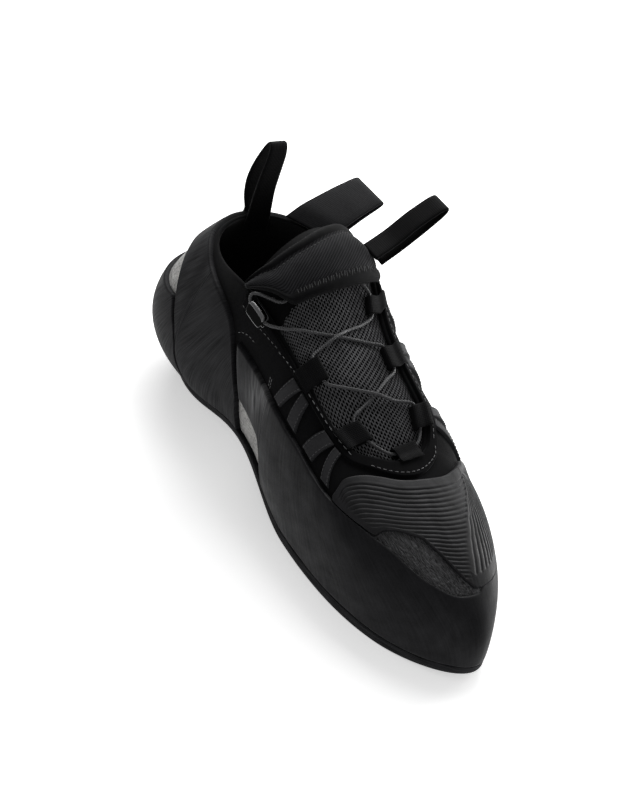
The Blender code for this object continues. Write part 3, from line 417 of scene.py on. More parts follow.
def easy_curve(knots, values, at):
    """Smooth open curve through the values that never swings past them."""
    step = np.diff(knots)
    rise = np.diff(values) / step
    slope = np.zeros(len(values))
    slope[0] = rise[0]
    slope[-1] = rise[-1]
    same_way = rise[:-1] * rise[1:] > 0
    total = np.where(same_way, rise[:-1] + rise[1:], 1.0)
    slope[1:-1] = np.where(same_way, 2 * rise[:-1] * rise[1:] / total, 0.0)
    k = np.clip(np.searchsorted(knots, at, side="right") - 1, 0, len(step) - 1)
    t = (at - knots[k]) / step[k]
    start = (1 + 2 * t) * (1 - t)**2 * values[k] + t * (1 - t)**2 * step[k] * slope[k]
    return start + t**2 * (3 - 2 * t) * values[k + 1] + t**2 * (t - 1) * step[k] * slope[k + 1]


def sole_bottom(x):
    """Height of the sole's underside: arch, toe spring and rounded heel."""
    span = np.clip((x - SOLE.heel_front) / (SOLE.ball_back - SOLE.heel_front), 0, 1)
    arch = SOLE.arch * (0.5 - 0.5 * np.cos(2 * np.pi * span))
    toe = np.clip((x - SOLE.ball_front) / (SOLE.toe - SOLE.ball_front), 0, None)
    heel = np.clip((SOLE.heel_back - x) / SOLE.heel_back, 0, None)
    return arch + SOLE.spring * toe**2 + SOLE.heel_round * heel**2


def sole_top(x):
    return sole_bottom(x) + np.interp(x, SOLE_STATIONS, SOLE_THICKNESS)


def feather(x):
    """Height at which the upper meets the sole."""
    return sole_top(x) + FEATHER_GAP


LAST = columns_of(RIBS)


def rib_knots():
    foot = np.stack([LAST["foot_x"], LAST["foot_y"]], axis=1)
    rim = np.stack([LAST["rim_x"], LAST["rim_y"], LAST["rim_z"]], axis=1)
    foot_step = np.linalg.norm(np.roll(foot, -1, axis=0) - foot, axis=1)
    rim_step = np.linalg.norm(np.roll(rim, -1, axis=0) - rim, axis=1)
    walk = np.cumsum(FOOT_SHARE * foot_step + (1 - FOOT_SHARE) * rim_step)
    return np.concatenate([[0.0], walk]) / walk[-1]


KNOTS = rib_knots()
LAST_BEND = {name: ring_bend(KNOTS, LAST[name]) for name in Rib._fields[1:]}


def last_value(name, u):
    return ring_spline(KNOTS, LAST[name], LAST_BEND[name], u)


def outward(u):
    """Level direction that points out of the shoe, square to the sole's edge."""
    e = WALL_NUDGE
    dx = last_value("foot_x", u + e) - last_value("foot_x", u - e)
    dy = last_value("foot_y", u + e) - last_value("foot_y", u - e)
    return unit(np.stack([-dy, dx, 0 * dx], axis=-1))


def wall(u, v):
    """Point on the outer face of the upper, in millimetres."""
    u, v = np.broadcast_arrays(np.asarray(u, float), np.asarray(v, float))
    out = outward(u)
    foot_x = last_value("foot_x", u)
    foot = np.stack([foot_x, last_value("foot_y", u), feather(foot_x)], axis=-1)
    rim = np.stack([last_value("rim_x", u), last_value("rim_y", u), last_value("rim_z", u)], axis=-1)
    lead = foot + out * last_value("bulge", u)[..., None] + UP * last_value("rise", u)[..., None]
    settle = rim + out * last_value("shoulder", u)[..., None] - UP * last_value("drop", u)[..., None]
    t = v[..., None]
    return (1 - t)**3 * foot + 3 * (1 - t)**2 * t * lead + 3 * (1 - t) * t**2 * settle + t**3 * rim


def wall_frame(u, v):
    """Outward normal and the two directions along and up the wall."""
    e = WALL_NUDGE
    low = np.clip(np.asarray(v, float) - e, 0, 1)
    high = np.clip(np.asarray(v, float) + e, 0, 1)
    along = unit(wall(u + e, v) - wall(u - e, v))
    upward = unit(wall(u, high) - wall(u, low))
    return unit(np.cross(upward, along)), along, upward


def skin(u, v, offset):
    """Point at a distance from the wall. It never dips below the wall's own point."""
    normal = wall_frame(u, v)[0]
    level = normal.copy()
    level[..., 2] = np.maximum(level[..., 2], 0.0)
    level = unit(level)
    stretch = 1 / np.sum(level * normal, axis=-1, keepdims=True)
    return wall(u, v) + level * stretch * np.asarray(offset)[..., None]


def inside(u, v, depth):
    """Point at a depth below the outer face of the upper."""
    return wall(u, v) - wall_frame(u, v)[0] * depth


def mirrored(cuts):
    """The same cuts on the medial side, in the order that continues round the heel or toe."""
    return tuple(Cut(-c.low_u, c.low_v, -c.top_u, c.top_v) for c in reversed(cuts))


def round_the_heel(cuts):
    """The same cuts on the other side of the heel."""
    twice = 2 * HEEL_U
    return tuple(Cut(twice - c.low_u, c.low_v, twice - c.top_u, c.top_v) for c in reversed(cuts))


def tongue_point(along, across, offset=0.0):
    """Point on the tongue. across is -1 and 1 at the two edges of the throat and past them below it."""
    along, across = np.broadcast_arrays(np.asarray(along, float), np.asarray(across, float))
    table = columns_of(TONGUE_SECTIONS)
    read = {name: easy_curve(table["along"], table[name], along) for name in Section._fields[1:]}
    depth = UPPER_WALL + TONGUE_GAP - offset
    ends = []
    for u in (read["lateral_u"], read["medial_u"]):
        ends.append((inside(u, read["edge_v"], depth), wall_frame(u, read["edge_v"])[2]))
    (start, start_up), (finish, finish_up) = ends
    span = np.linalg.norm(finish - start, axis=-1)
    start_reach = (read["crown"] * (1 - read["lean"]) * span)[..., None]
    finish_reach = (read["crown"] * (1 + read["lean"]) * span)[..., None]
    t = (np.clip(across, -1, 1)[..., None] + 1) / 2
    bridge = (1 - t)**3 * start + 3 * (1 - t)**2 * t * (start + start_reach * start_up)
    bridge = bridge + 3 * (1 - t) * t**2 * (finish + finish_reach * finish_up) + t**3 * finish
    below = np.clip(np.abs(across) - 1, 0, None) * read["tuck"]
    side_u = np.where(across < 0, read["lateral_u"], read["medial_u"])
    tucked = inside(side_u, read["edge_v"] - below, depth)
    return np.where((np.abs(across) > 1)[..., None], tucked, bridge)


def tongue_normal(along, across):
    e = TONGUE_NUDGE
    forward = tongue_point(along - e, across) - tongue_point(along + e, across)
    sideways = tongue_point(along, across + e) - tongue_point(along, across - e)
    return unit(np.cross(forward, sideways))


def over_tongue(along, across, lift):
    """Point at a height above the tongue."""
    return tongue_point(along, across) + tongue_normal(along, across) * np.asarray(lift)[..., None]


def evenly(points, count):
    """The same path with points at an even spacing."""
    walk = walked(points)
    at = np.linspace(0, walk[-1], count)
    return np.stack([np.interp(at, walk, column) for column in points.T], axis=1)


def softened(points, rounds):
    """The same path with its corners eased. Both ends stay."""
    for _ in range(rounds):
        eased = points.copy()
        eased[1:-1] = (points[:-2] + 2 * points[1:-1] + points[2:]) / 4
        points = eased
    return points


def even_columns(count, level):
    """Values of u at even distances round the wall."""
    dense = np.linspace(0, 1, WALK_STEPS)
    line = wall(dense, np.full_like(dense, level))
    walk = walked(line)
    return np.interp(np.linspace(0, walk[-1], count + 1)[:-1], walk, dense)


def finer_path(points, count):
    """The solid's own path, before it is thinned out to a few points."""
    return softened(evenly(points, PATH_FINENESS * count), EASING_ROUNDS)


# Materials. Colours are sRGB hex. A layer is one procedural pattern in millimetres:
# across and along are the size of its features, turn its direction in degrees, depth its relief
# and shade how far it leads the colour from dark to light. Yarns, wales and streaks are drawn about
# twice as coarse as real ones, so that they show.
Layer = namedtuple("Layer", "kind across along turn depth shade")
Finish = namedtuple("Finish", "name dark light base_shade rough_low rough_high specular sheen layers")
NOISE = "ShaderNodeTexNoise"
WAVE = "ShaderNodeTexWave"
WAVE_PERIOD = math.pi / 10
# Where such a finish is worn, its last layer breaks a light grey into streaks: partly rubbed wear, partly a
# painted highlight of the rubber's gloss
WEAR_AND_HIGHLIGHT_FINISHES = ("satin_rand_rubber",)
WEAR_AND_HIGHLIGHT_COLOUR = "6c6c6d"
STREAK_GAIN = 2.6
STREAK_START = -0.85
FINISHES = (
    # Matt black rubber with a grained edge, rubbed grey by sanding along the sole
    Finish("moulded_sole_rubber", "070708", "2c2c2e", -0.75, 0.48, 0.74, 0.07, 0.0, (
        Layer(NOISE, 0.8, 0.8, 0, 0.06, 0.40),
        Layer(NOISE, 16.0, 0.7, 0, 0.10, 1.40),
        Layer(NOISE, 9.0, 4.0, 0, 0.0, 0.60),
    )),
    # Smooth satin rubber sheet with soft cloudy wear, so that highlights break up
    Finish("satin_rand_rubber", "070708", "222224", -0.45, 0.30, 0.66, 0.09, 0.0, (
        Layer(NOISE, 0.7, 0.7, 0, 0.04, 0.50),
        Layer(NOISE, 14.0, 6.0, 20, 0.10, 0.70),
        Layer(NOISE, 1.6, 14.0, 12, 0.04, 0.70),
    )),
    # Moulded rubber of the ribbed patch, with a dusty bloom
    Finish("ribbed_toe_rubber", "09090a", "28282a", -0.35, 0.36, 0.64, 0.16, 0.0, (
        Layer(NOISE, 0.6, 0.6, 0, 0.04, 0.55),
        Layer(NOISE, 11.0, 7.0, 0, 0.0, 1.00),
    )),
    # Buffed rubber: fine parallel sanding streaks that run down and forward
    Finish("sanded_heel_rubber", "040405", "28282a", -0.80, 0.44, 0.70, 0.05, 0.0, (
        Layer(NOISE, 0.45, 30.0, -28, 0.01, 1.50),
        Layer(NOISE, 7.0, 16.0, -28, 0.02, 0.60),
        Layer(NOISE, 0.6, 0.6, 0, 0.03, 0.45),
    )),
    # Black microfibre of the upper, dull with a fine nap
    Finish("black_microfibre", "030304", "0e0e0f", 0.0, 0.80, 0.95, 0.05, 0.03, (
        Layer(NOISE, 0.5, 0.5, 0, 0.07, 0.40),
        Layer(NOISE, 5.0, 5.0, 0, 0.0, 0.50),
    )),
    # Light split suede: pale nap broken by dark pores
    Finish("pale_split_suede", "424242", "b4b3b0", -0.75, 0.88, 1.0, 0.12, 0.1, (
        Layer(NOISE, 1.3, 1.3, 0, 0.16, 1.60),
        Layer(NOISE, 0.6, 0.6, 0, 0.08, 0.40),
        Layer(NOISE, 8.0, 8.0, 0, 0.0, 0.60),
    )),
    # Coated leather over the small toes: fine crossing wrinkles, each crest painted lighter as a painted
    # highlight
    Finish("wrinkled_coated_leather", "030304", "58585a", -1.10, 0.20, 0.62, 0.35, 0.0, (
        Layer(NOISE, 0.6, 3.4, 20, 0.35, 1.90),
        Layer(NOISE, 2.6, 0.6, -15, 0.25, 0.90),
    )),
    # Woven webbing: cross ribs with a satin float
    Finish("woven_webbing", "030304", "0f0f10", 0.0, 0.60, 0.80, 0.05, 0.02, (
        Layer(WAVE, 0.8, 0.8, 0, 0.06, 0.25),
        Layer(WAVE, 0.9, 0.9, 90, 0.04, 0.20),
        Layer(NOISE, 1.2, 1.2, 0, 0.0, 0.45),
    )),
    # Napped tape of the V strips, a little brighter than the upper
    Finish("satin_tape", "0b0b0c", "363638", -0.05, 0.50, 0.70, 0.10, 0.0, (
        Layer(NOISE, 0.7, 0.7, 0, 0.05, 0.45),
        Layer(NOISE, 1.2, 9.0, 0, 0.02, 0.35),
        Layer(NOISE, 6.0, 6.0, 0, 0.0, 0.35),
    )),
    # Microsuede of the eyestay, the blackest part of the shoe
    Finish("black_microsuede", "020203", "0c0c0d", -0.1, 0.85, 1.0, 0.04, 0.03, (
        Layer(NOISE, 0.5, 0.5, 0, 0.07, 0.60),
        Layer(NOISE, 4.0, 4.0, 0, 0.0, 0.40),
    )),
    # Knitted grey yarn round the holes of the spacer mesh
    Finish("grey_mesh_yarn", "28282a", "68686a", -0.15, 0.65, 0.85, 0.08, 0.08, (
        Layer(WAVE, 0.40, 0.40, 35, 0.05, 0.30),
        Layer(NOISE, 7.0, 7.0, 0, 0.0, 0.90),
    )),
    # Dark foam core that shows through the holes, near black: its own dark colour and painted shade deep in
    # the holes
    Finish("mesh_core_and_hole_shade", "020202", "050505", 0.0, 0.90, 1.0, 0.03, 0.0, (
        Layer(NOISE, 0.5, 0.5, 0, 0.05, 0.60),
    )),
    # Padded twill: diagonal wales, each crest painted lighter as a painted highlight
    Finish("padded_twill", "030304", "2c2c2e", -0.10, 0.68, 0.88, 0.06, 0.03, (
        Layer(WAVE, 1.3, 1.3, 40, 0.14, 0.60),
        Layer(WAVE, 0.7, 0.7, -50, 0.04, 0.18),
        Layer(NOISE, 6.0, 6.0, 0, 0.0, 0.45),
    )),
    # Napped binding of the tongue's edges
    Finish("smooth_binding_tape", "030304", "121213", 0.0, 0.62, 0.82, 0.05, 0.02, (
        Layer(NOISE, 0.6, 0.6, 0, 0.04, 0.35),
        Layer(NOISE, 4.0, 4.0, 0, 0.0, 0.50),
    )),
    # Woven elastic with heathered grey and black yarns
    Finish("heathered_elastic", "060607", "2a2a2c", -0.1, 0.72, 0.90, 0.08, 0.06, (
        Layer(NOISE, 0.6, 1.1, 0, 0.05, 0.75),
        Layer(WAVE, 0.9, 0.9, 90, 0.05, 0.15),
        Layer(NOISE, 9.0, 9.0, 0, 0.0, 0.25),
    )),
    # Braided cord: two crossing diagonals with a soft shine
    Finish("braided_cord", "1a1a1b", "525254", 0.10, 0.36, 0.52, 0.32, 0.0, (
        Layer(WAVE, 0.8, 0.8, 38, 0.07, 0.30),
        Layer(WAVE, 0.8, 0.8, -38, 0.07, 0.30),
    )),
    # Polished moulded plastic of the hook: a clear black face
    Finish("glossy_moulded_plastic", "010101", "030303", 0.2, 0.10, 0.16, 0.04, 0.0, (
        Layer(NOISE, 3.0, 3.0, 0, 0.004, 0.40),
    )),
    # Rounded edges of the hook: polished, with a strong specular, and painted light grey as a painted glint
    Finish("glint_painted_plastic_edge", "3c3c3e", "6a6a6c", 0.2, 0.18, 0.28, 1.0, 0.0, (
        Layer(NOISE, 3.0, 3.0, 0, 0.004, 0.40),
    )),
    # Grey sewing thread, twisted
    Finish("twisted_thread", "4a4a4b", "868687", 0.1, 0.55, 0.70, 0.20, 0.2, (
        Layer(WAVE, 0.25, 0.25, 40, 0.03, 0.50),
    )),
    # Darker thread along the edges of the tape and the flap
    Finish("dull_thread", "2c2c2d", "565657", 0.1, 0.60, 0.75, 0.15, 0.1, (
        Layer(WAVE, 0.25, 0.25, 40, 0.03, 0.50),
    )),
    # Brushed knit inside the shoe
    Finish("brushed_lining", "1a1a1b", "343436", 0.0, 0.90, 1.0, 0.05, 0.1, (
        Layer(NOISE, 0.6, 0.6, 0, 0.08, 0.40),
        Layer(WAVE, 1.1, 1.1, 90, 0.05, 0.20),
    )),
    # Bonded fibre board of the insole
    Finish("bonded_fibre_board", "1b1a19", "34322f", 0.1, 0.85, 0.95, 0.10, 0.0, (
        Layer(NOISE, 0.8, 0.8, 0, 0.05, 0.50),
        Layer(NOISE, 12.0, 12.0, 0, 0.0, 0.30),
    )),
)


def linear(hexadecimal):
    """Linear colour of an sRGB hex value."""
    channels = [int(hexadecimal[i:i + 2], 16) / 255 for i in (0, 2, 4)]
    return [c / 12.92 if c <= 0.04045 else ((c + 0.055) / 1.055)**2.4 for c in channels] + [1.0]


def add_node(tree, kind, settings, links):
    """Add a node. settings are sockets or properties with their values, links are sockets with sources."""
    node = tree.nodes.new(kind)
    for key, value in settings.items():
        if isinstance(key, str) and hasattr(node, key):
            setattr(node, key, value)
        else:
            node.inputs[key].default_value = value
    for key, source in links.items():
        tree.links.new(source, node.inputs[key])
    return node


def make_material(finish):
    material = bpy.data.materials.new(finish.name)
    material.use_nodes = True
    tree = material.node_tree
    shader = tree.nodes["Principled BSDF"]
    place = add_node(tree, "ShaderNodeUVMap", {"uv_map": "millimetres"}, {})
    start = {"shade": finish.base_shade, "height": 0.0}
    total = {}
    for layer in finish.layers:
        size = WAVE_PERIOD if layer.kind == WAVE else 1.0
        turned = add_node(tree, "ShaderNodeMapping", {
            "Rotation": (0, 0, math.radians(layer.turn))}, {"Vector": place.outputs[0]})
        scaled = add_node(tree, "ShaderNodeMapping", {
            "Scale": (size / layer.across, size / layer.along, 1.0)}, {"Vector": turned.outputs[0]})
        pattern = add_node(tree, layer.kind, {"Scale": 1.0}, {"Vector": scaled.outputs[0]})
        value = pattern.outputs["Fac"]
        for key, share in (("shade", layer.shade), ("height", layer.depth)):
            if share == 0:
                continue
            earlier = {2: total[key]} if key in total else {}
            step = add_node(tree, "ShaderNodeMath", {
                "operation": "MULTIPLY_ADD", 1: share, 2: start[key]}, {0: value, **earlier})
            total[key] = step.outputs[0]
    shade = total["shade"]
    colour = add_node(tree, "ShaderNodeMix", {"data_type": "RGBA"}, {0: shade})
    colour.inputs[6].default_value = linear(finish.dark)
    colour.inputs[7].default_value = linear(finish.light)
    surface = colour.outputs[2]
    # Patches rubbed light: wear together with a painted highlight of the rubber's gloss
    if finish.name in WEAR_AND_HIGHLIGHT_FINISHES:
        wear_and_highlight = add_node(tree, "ShaderNodeAttribute", {"attribute_name": "wear_and_highlight"}, {})
        streak = add_node(tree, "ShaderNodeMath", {
            "operation": "MULTIPLY_ADD", "use_clamp": True, 1: STREAK_GAIN, 2: STREAK_START}, {0: value})
        rubbed_and_highlit = add_node(tree, "ShaderNodeMath", {"operation": "MULTIPLY"}, {
            0: wear_and_highlight.outputs["Fac"], 1: streak.outputs[0]})
        worn_and_highlit = add_node(tree, "ShaderNodeMix", {"data_type": "RGBA"}, {0: rubbed_and_highlit.outputs[0], 6: surface})
        worn_and_highlit.inputs[7].default_value = linear(WEAR_AND_HIGHLIGHT_COLOUR)
        surface = worn_and_highlit.outputs[2]
    rough = add_node(tree, "ShaderNodeMapRange", {3: finish.rough_high, 4: finish.rough_low}, {0: shade})
    bump = add_node(tree, "ShaderNodeBump", {"Strength": 1.0, "Distance": MM}, {"Height": total["height"]})
    tree.links.new(surface, shader.inputs["Base Color"])
    tree.links.new(rough.outputs[0], shader.inputs["Roughness"])
    tree.links.new(bump.outputs[0], shader.inputs["Normal"])
    shader.inputs["Specular IOR Level"].default_value = finish.specular
    shader.inputs["Sheen Weight"].default_value = finish.sheen
    return material


MATERIALS = {finish.name: make_material(finish) for finish in FINISHES}


WELD = 0.002


def to_world(points):
    return (np.asarray(points) + SHOE_SHIFT) * MM


def add_piece(name, points, faces, uv, finishes, nodes=(), kinds=None, wear_and_highlight=None):
    """New piece from points in mm, quads and a flat map in mm.

    kinds gives each face its finish, and the last argument how far each point is painted towards a light
    grey: rubbed wear together with a painted highlight.
    """
    mesh = bpy.data.meshes.new(name)
    mesh.from_pydata(to_world(points).tolist(), [], faces.tolist())
    chart = mesh.uv_layers.new(name="millimetres")
    chart.data.foreach_set("uv", np.asarray(uv, float)[faces.ravel()].ravel())
    for finish in finishes:
        mesh.materials.append(MATERIALS[finish])
    if kinds is not None:
        mesh.polygons.foreach_set("material_index", np.asarray(kinds, np.int32))
    if wear_and_highlight is not None:
        mesh.attributes.new("wear_and_highlight", "FLOAT", "POINT").data.foreach_set("value", wear_and_highlight.ravel())
    work = bmesh.new()
    work.from_mesh(mesh)
    bmesh.ops.remove_doubles(work, verts=work.verts, dist=WELD * MM)
    work.to_mesh(mesh)
    work.free()
    mesh.shade_smooth()
    piece = bpy.data.objects.new(name, mesh)
    bpy.context.scene.collection.objects.link(piece)
    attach(piece, "root")
    if nodes:
        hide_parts(*nodes)
    return piece


def grid_faces(rows, columns):
    """Corner numbers of the quads of a grid. They look outwards where rows rise and u grows."""
    r, c = np.meshgrid(np.arange(rows - 1), np.arange(columns - 1), indexing="ij")
    first = r * columns + c
    return np.stack([first, first + columns, first + columns + 1, first + 1], axis=-1).reshape(-1, 4)


def add_grid(name, grid, uv, finishes, nodes=(), kinds=None, wear_and_highlight=None):
    rows, columns = grid.shape[:2]
    faces = grid_faces(rows, columns)
    return add_piece(name, grid.reshape(-1, 3), faces, uv.reshape(-1, 2), finishes, nodes, kinds, wear_and_highlight)


# Slabs on the wall: strips with rounded edges. Place holds what a relief may depend on, in mm.
Slab = namedtuple("Slab", "spacing rise round_low round_top round_end")
Place = namedtuple("Place", "u v at from_low from_top from_end width")
EDGE_STEPS = 6
EDGE_ARC = np.linspace(0, np.pi / 2, EDGE_STEPS)
SKIRT = -0.25
WIDTH_STEPS = 9
ROUND_SHARE = 0.4


def strip_lines(cuts, spacing, edges):
    """Both edges of a strip of the wall as values of u and v, at distances along it in mm."""
    if cuts[0].low_u > cuts[-1].low_u:
        cuts = cuts[::-1]
    table = columns_of(cuts)
    middle = wall((table["low_u"] + table["top_u"]) / 2, (table["low_v"] + table["top_v"]) / 2)
    low = wall(table["low_u"], table["low_v"])
    top = wall(table["top_u"], table["top_v"])
    steps = [np.linalg.norm(np.diff(line, axis=0), axis=1) for line in (low, middle, top)]
    walk = np.concatenate([[0.0], np.cumsum(np.max(steps, axis=0))])
    inner = np.linspace(edges[-1], walk[-1] - edges[-1], int(walk[-1] / spacing) + 2)[1:-1]
    at = np.concatenate([edges, inner, walk[-1] - edges[::-1]])
    return at, [easy_curve(walk, table[name], at) for name in Cut._fields]


def quarter(distance, radius):
    return np.sqrt(1 - (1 - np.clip(distance / radius, 0, 1))**2)


# Joint between rand and toe patch on the medial side of the toe, where the rubber looks like one piece
JOINT_U = np.array([-0.1120, -0.0850, -0.0600, -0.0350, -0.0100, -0.0010])
JOINT_V = np.array([0.497, 0.483, 0.473, 0.464, 0.455, 0.453])
JOINT_ROUND = 0.05
SmoothCorner = namedtuple("SmoothCorner", "to_u height")
SMOOTH_CORNER = SmoothCorner(0.001, 7.0)


def close_joint(u, v, radius):
    """Lead an edge along the joint, and make it sharp there."""
    around = from_toe(u)
    joined = (around > JOINT_U[0]) & (around < JOINT_U[-1])
    led = np.where(joined, np.interp(around, JOINT_U, JOINT_V), v)
    return led, np.where(joined, JOINT_ROUND, radius)


def slab_grid(cuts, shape, relief=None, joint=""):
    turn = 1 - np.cos(EDGE_ARC)
    at, (low_u, low_v, top_u, top_v) = strip_lines(cuts, shape.spacing, shape.round_end * turn)
    low_round = np.full(len(at), shape.round_low)
    top_round = np.full(len(at), shape.round_top)
    if joint == "low":
        low_v, low_round = close_joint(low_u, low_v, low_round)
    if joint == "top":
        top_v, top_round = close_joint(top_u, top_v, top_round)
    t = np.linspace(0, 1, WIDTH_STEPS)[:, None]
    ribs = wall(low_u + t * (top_u - low_u), low_v + t * (top_v - low_v))
    width = np.linalg.norm(np.diff(ribs, axis=0), axis=2).sum(axis=0)
    low_round = np.minimum(low_round, ROUND_SHARE * width)
    top_round = np.minimum(top_round, ROUND_SHARE * width)
    rows = int(width.max() / shape.spacing) + 2
    share = np.linspace(0, 1, rows)[1:-1, None]
    inner = low_round + share * (width - low_round - top_round)
    from_low = np.concatenate([low_round * turn[:, None], inner, width - top_round * turn[::-1, None]])
    from_top = width - from_low
    t = from_low / width
    u = low_u + t * (top_u - low_u)
    v = low_v + t * (top_v - low_v)
    from_end = np.broadcast_to(np.minimum(at, at[-1] - at), u.shape)
    edge = np.minimum(quarter(from_low, low_round), quarter(from_top, top_round))
    edge = np.minimum(edge, quarter(from_end, shape.round_end))
    height = shape.rise * edge
    along = np.broadcast_to(at, u.shape)
    place = Place(u, v, along, from_low, from_top, from_end, width)
    if relief is not None:
        height = height + edge * relief(place)
    height[[0, -1]] = SKIRT
    height[:, [0, -1]] = SKIRT
    return skin(u, v, height), np.stack([along, from_low], axis=-1), place


def add_slab(name, cuts, shape, finishes, relief=None, joint="", choose=None, scuffs_and_highlights=()):
    """Slab that replaces a solid. choose picks the finish of each place where there are several."""
    grid, uv, place = slab_grid(cuts, shape, relief, joint)
    kinds = None
    if choose is not None:
        kinds = choose(place)[:-1, :-1].ravel()
    # Soft patches painted light: rubbed wear together with a painted highlight
    wear_and_highlight = np.zeros(place.u.shape)
    for scuff_and_highlight in scuffs_and_highlights:
        reach = ((place.u - scuff_and_highlight.u) / scuff_and_highlight.reach_u)**2 + ((place.v - scuff_and_highlight.v) / scuff_and_highlight.reach_v)**2
        wear_and_highlight += scuff_and_highlight.strength * np.exp(-reach)
    return add_grid(name + "_face", grid, uv, finishes, (name,), kinds, wear_and_highlight)


def smooth_corner(place):
    """Smooth rubber of the toe patch, medial of the opening and below its ribs."""
    around = from_toe(place.u)
    return ((around < SMOOTH_CORNER.to_u) & (place.from_low < SMOOTH_CORNER.height)).astype(np.int32)


# Sheets under the foot. Rows run from the middle of the underside round the edge to the middle of
# the top. inset is measured from the outline, share then runs from there to the middle line.
SoleRow = namedtuple("SoleRow", "inset share level lift")
SOLE_ROWS = (
    SoleRow(1.6, 1.00, 0, 0.0), SoleRow(1.6, 0.75, 0, 0.0), SoleRow(1.6, 0.50, 0, 0.0),
    SoleRow(1.6, 0.25, 0, 0.0), SoleRow(1.6, 0.10, 0, 0.0), SoleRow(1.6, 0.00, 0, 0.0),
    SoleRow(1.2, 0.00, 0, 0.0), SoleRow(0.7, 0.00, 0, 0.12), SoleRow(0.3, 0.00, 0, 0.42),
    SoleRow(0.08, 0.00, 0, 0.80), SoleRow(0.0, 0.00, 0, 1.2), SoleRow(0.0, 0.00, 1, -1.6),
    SoleRow(0.0, 0.00, 1, -0.6), SoleRow(0.08, 0.00, 1, -0.28), SoleRow(0.28, 0.00, 1, -0.08),
    SoleRow(0.6, 0.00, 1, 0.0), SoleRow(1.6, 0.00, 1, 0.0), SoleRow(1.6, 0.30, 1, 0.0),
    SoleRow(1.6, 0.65, 1, 0.0), SoleRow(1.6, 1.00, 1, 0.0),
)
SOLE_COLUMNS = 420
SOLE_END_ROOM = 24.0
# margin widens the sheet past the wall's foot, edge is the size of its rounding beside that of SOLE_ROWS
SoleSheet = namedtuple("SoleSheet", "name margin edge finish slot node")
OUTSOLE_SHEET = SoleSheet("sole_sheet", SOLE_MARGIN, 1.0, "moulded_sole_rubber", "sole_rubber", "outsole")
INSOLE_SHEET = SoleSheet("insole_board", -INSOLE_INSET, 0.35, "bonded_fibre_board", "board", "insole")


def insole_bottom(x):
    return feather(x) + FEATHER_GAP


def insole_top(x):
    return insole_bottom(x) + INSOLE


def add_sole(sheet, bottom, top):
    u = np.append(even_columns(SOLE_COLUMNS, 0.0), 1.0)
    out = outward(u)[:, :2]
    edge = wall(u, np.zeros_like(u))[:, :2] + out * sheet.margin
    tip = int(np.argmax(edge[:, 0]))
    ring = np.roll(edge[:-1], -tip, axis=0)
    heel = int(np.argmin(ring[:, 0]))
    middle_x = np.clip(edge[:, 0], ring[heel, 0] + SOLE_END_ROOM, ring[0, 0] - SOLE_END_ROOM)
    lateral_y = np.interp(middle_x, ring[:heel + 1][::-1, 0], ring[:heel + 1][::-1, 1])
    medial_y = np.interp(middle_x, ring[heel:, 0], ring[heel:, 1])
    middle = np.stack([middle_x, (lateral_y + medial_y) / 2], axis=1)
    walk = walked(edge)
    rows = []
    charts = []
    for row in SOLE_ROWS:
        flat = edge - out * row.inset * sheet.edge
        flat = flat + row.share * (middle - flat)
        level = top(flat[:, 0]) if row.level else bottom(flat[:, 0])
        level = level + row.lift * sheet.edge
        rows.append(np.column_stack([flat, level]))
        charts.append(flat if row.share else np.column_stack([walk, level]))
    return add_grid(sheet.name, np.array(rows), np.array(charts), (sheet.finish,), (sheet.node,))


# Upper: outer face, rounded rim and lining, as one closed skin
UPPER_COLUMNS = 420
UPPER_ROWS = 60
RIM_STEPS = 7
Window = namedtuple("Window", "from_u to_u from_v to_v")
SUEDE_WINDOWS = (
    Window(0.235, 0.335, 0.0, 0.37), Window(0.665, 0.765, 0.0, 0.37), Window(0.408, 0.598, 0.34, 0.87),
)
UPPER_SPAN = 560.0
UPPER_HEIGHT = 80.0
UPPER_MIDDLE = 0.4
LINING_START = 1.05


def make_upper():
    u = np.append(even_columns(UPPER_COLUMNS, UPPER_MIDDLE), 1.0)
    v = np.linspace(0, 1, UPPER_ROWS)
    outer = wall(u[None, :], v[:, None])
    rim = wall(u, np.ones_like(u))
    normal, _, upward = wall_frame(u, np.ones_like(u))
    arc = np.linspace(0, np.pi, RIM_STEPS)[1:-1, None, None]
    half = UPPER_WALL / 2
    lip = rim + half * (normal * (np.cos(arc) - 1) + upward * np.sin(arc))
    inner = inside(u[None, :], v[::-1, None], UPPER_WALL)
    grid = np.concatenate([outer, lip, inner, outer[:1]])
    lip_travel = np.linspace(1, LINING_START, RIM_STEPS - 2)
    travel = np.concatenate([v, lip_travel, LINING_START + v, [2 * LINING_START]]) * UPPER_HEIGHT
    uv = np.stack(np.broadcast_arrays(u[None, :] * UPPER_SPAN, travel[:, None]), axis=-1)
    kinds = np.zeros((len(grid) - 1, len(u) - 1), np.int32)
    face_u = (u[1:] + u[:-1]) / 2
    face_v = (v[1:] + v[:-1]) / 2
    for window in SUEDE_WINDOWS:
        columns = (face_u > window.from_u) & (face_u < window.to_u)
        rows = (face_v > window.from_v) & (face_v < window.to_v)
        kinds[:UPPER_ROWS - 1][np.ix_(rows, columns)] = 1
    kinds[UPPER_ROWS + RIM_STEPS // 2:] = 2
    finishes = ("black_microfibre", "pale_split_suede", "brushed_lining")
    return add_grid("upper_skin", grid, uv, finishes, ("upper",), kinds.ravel())


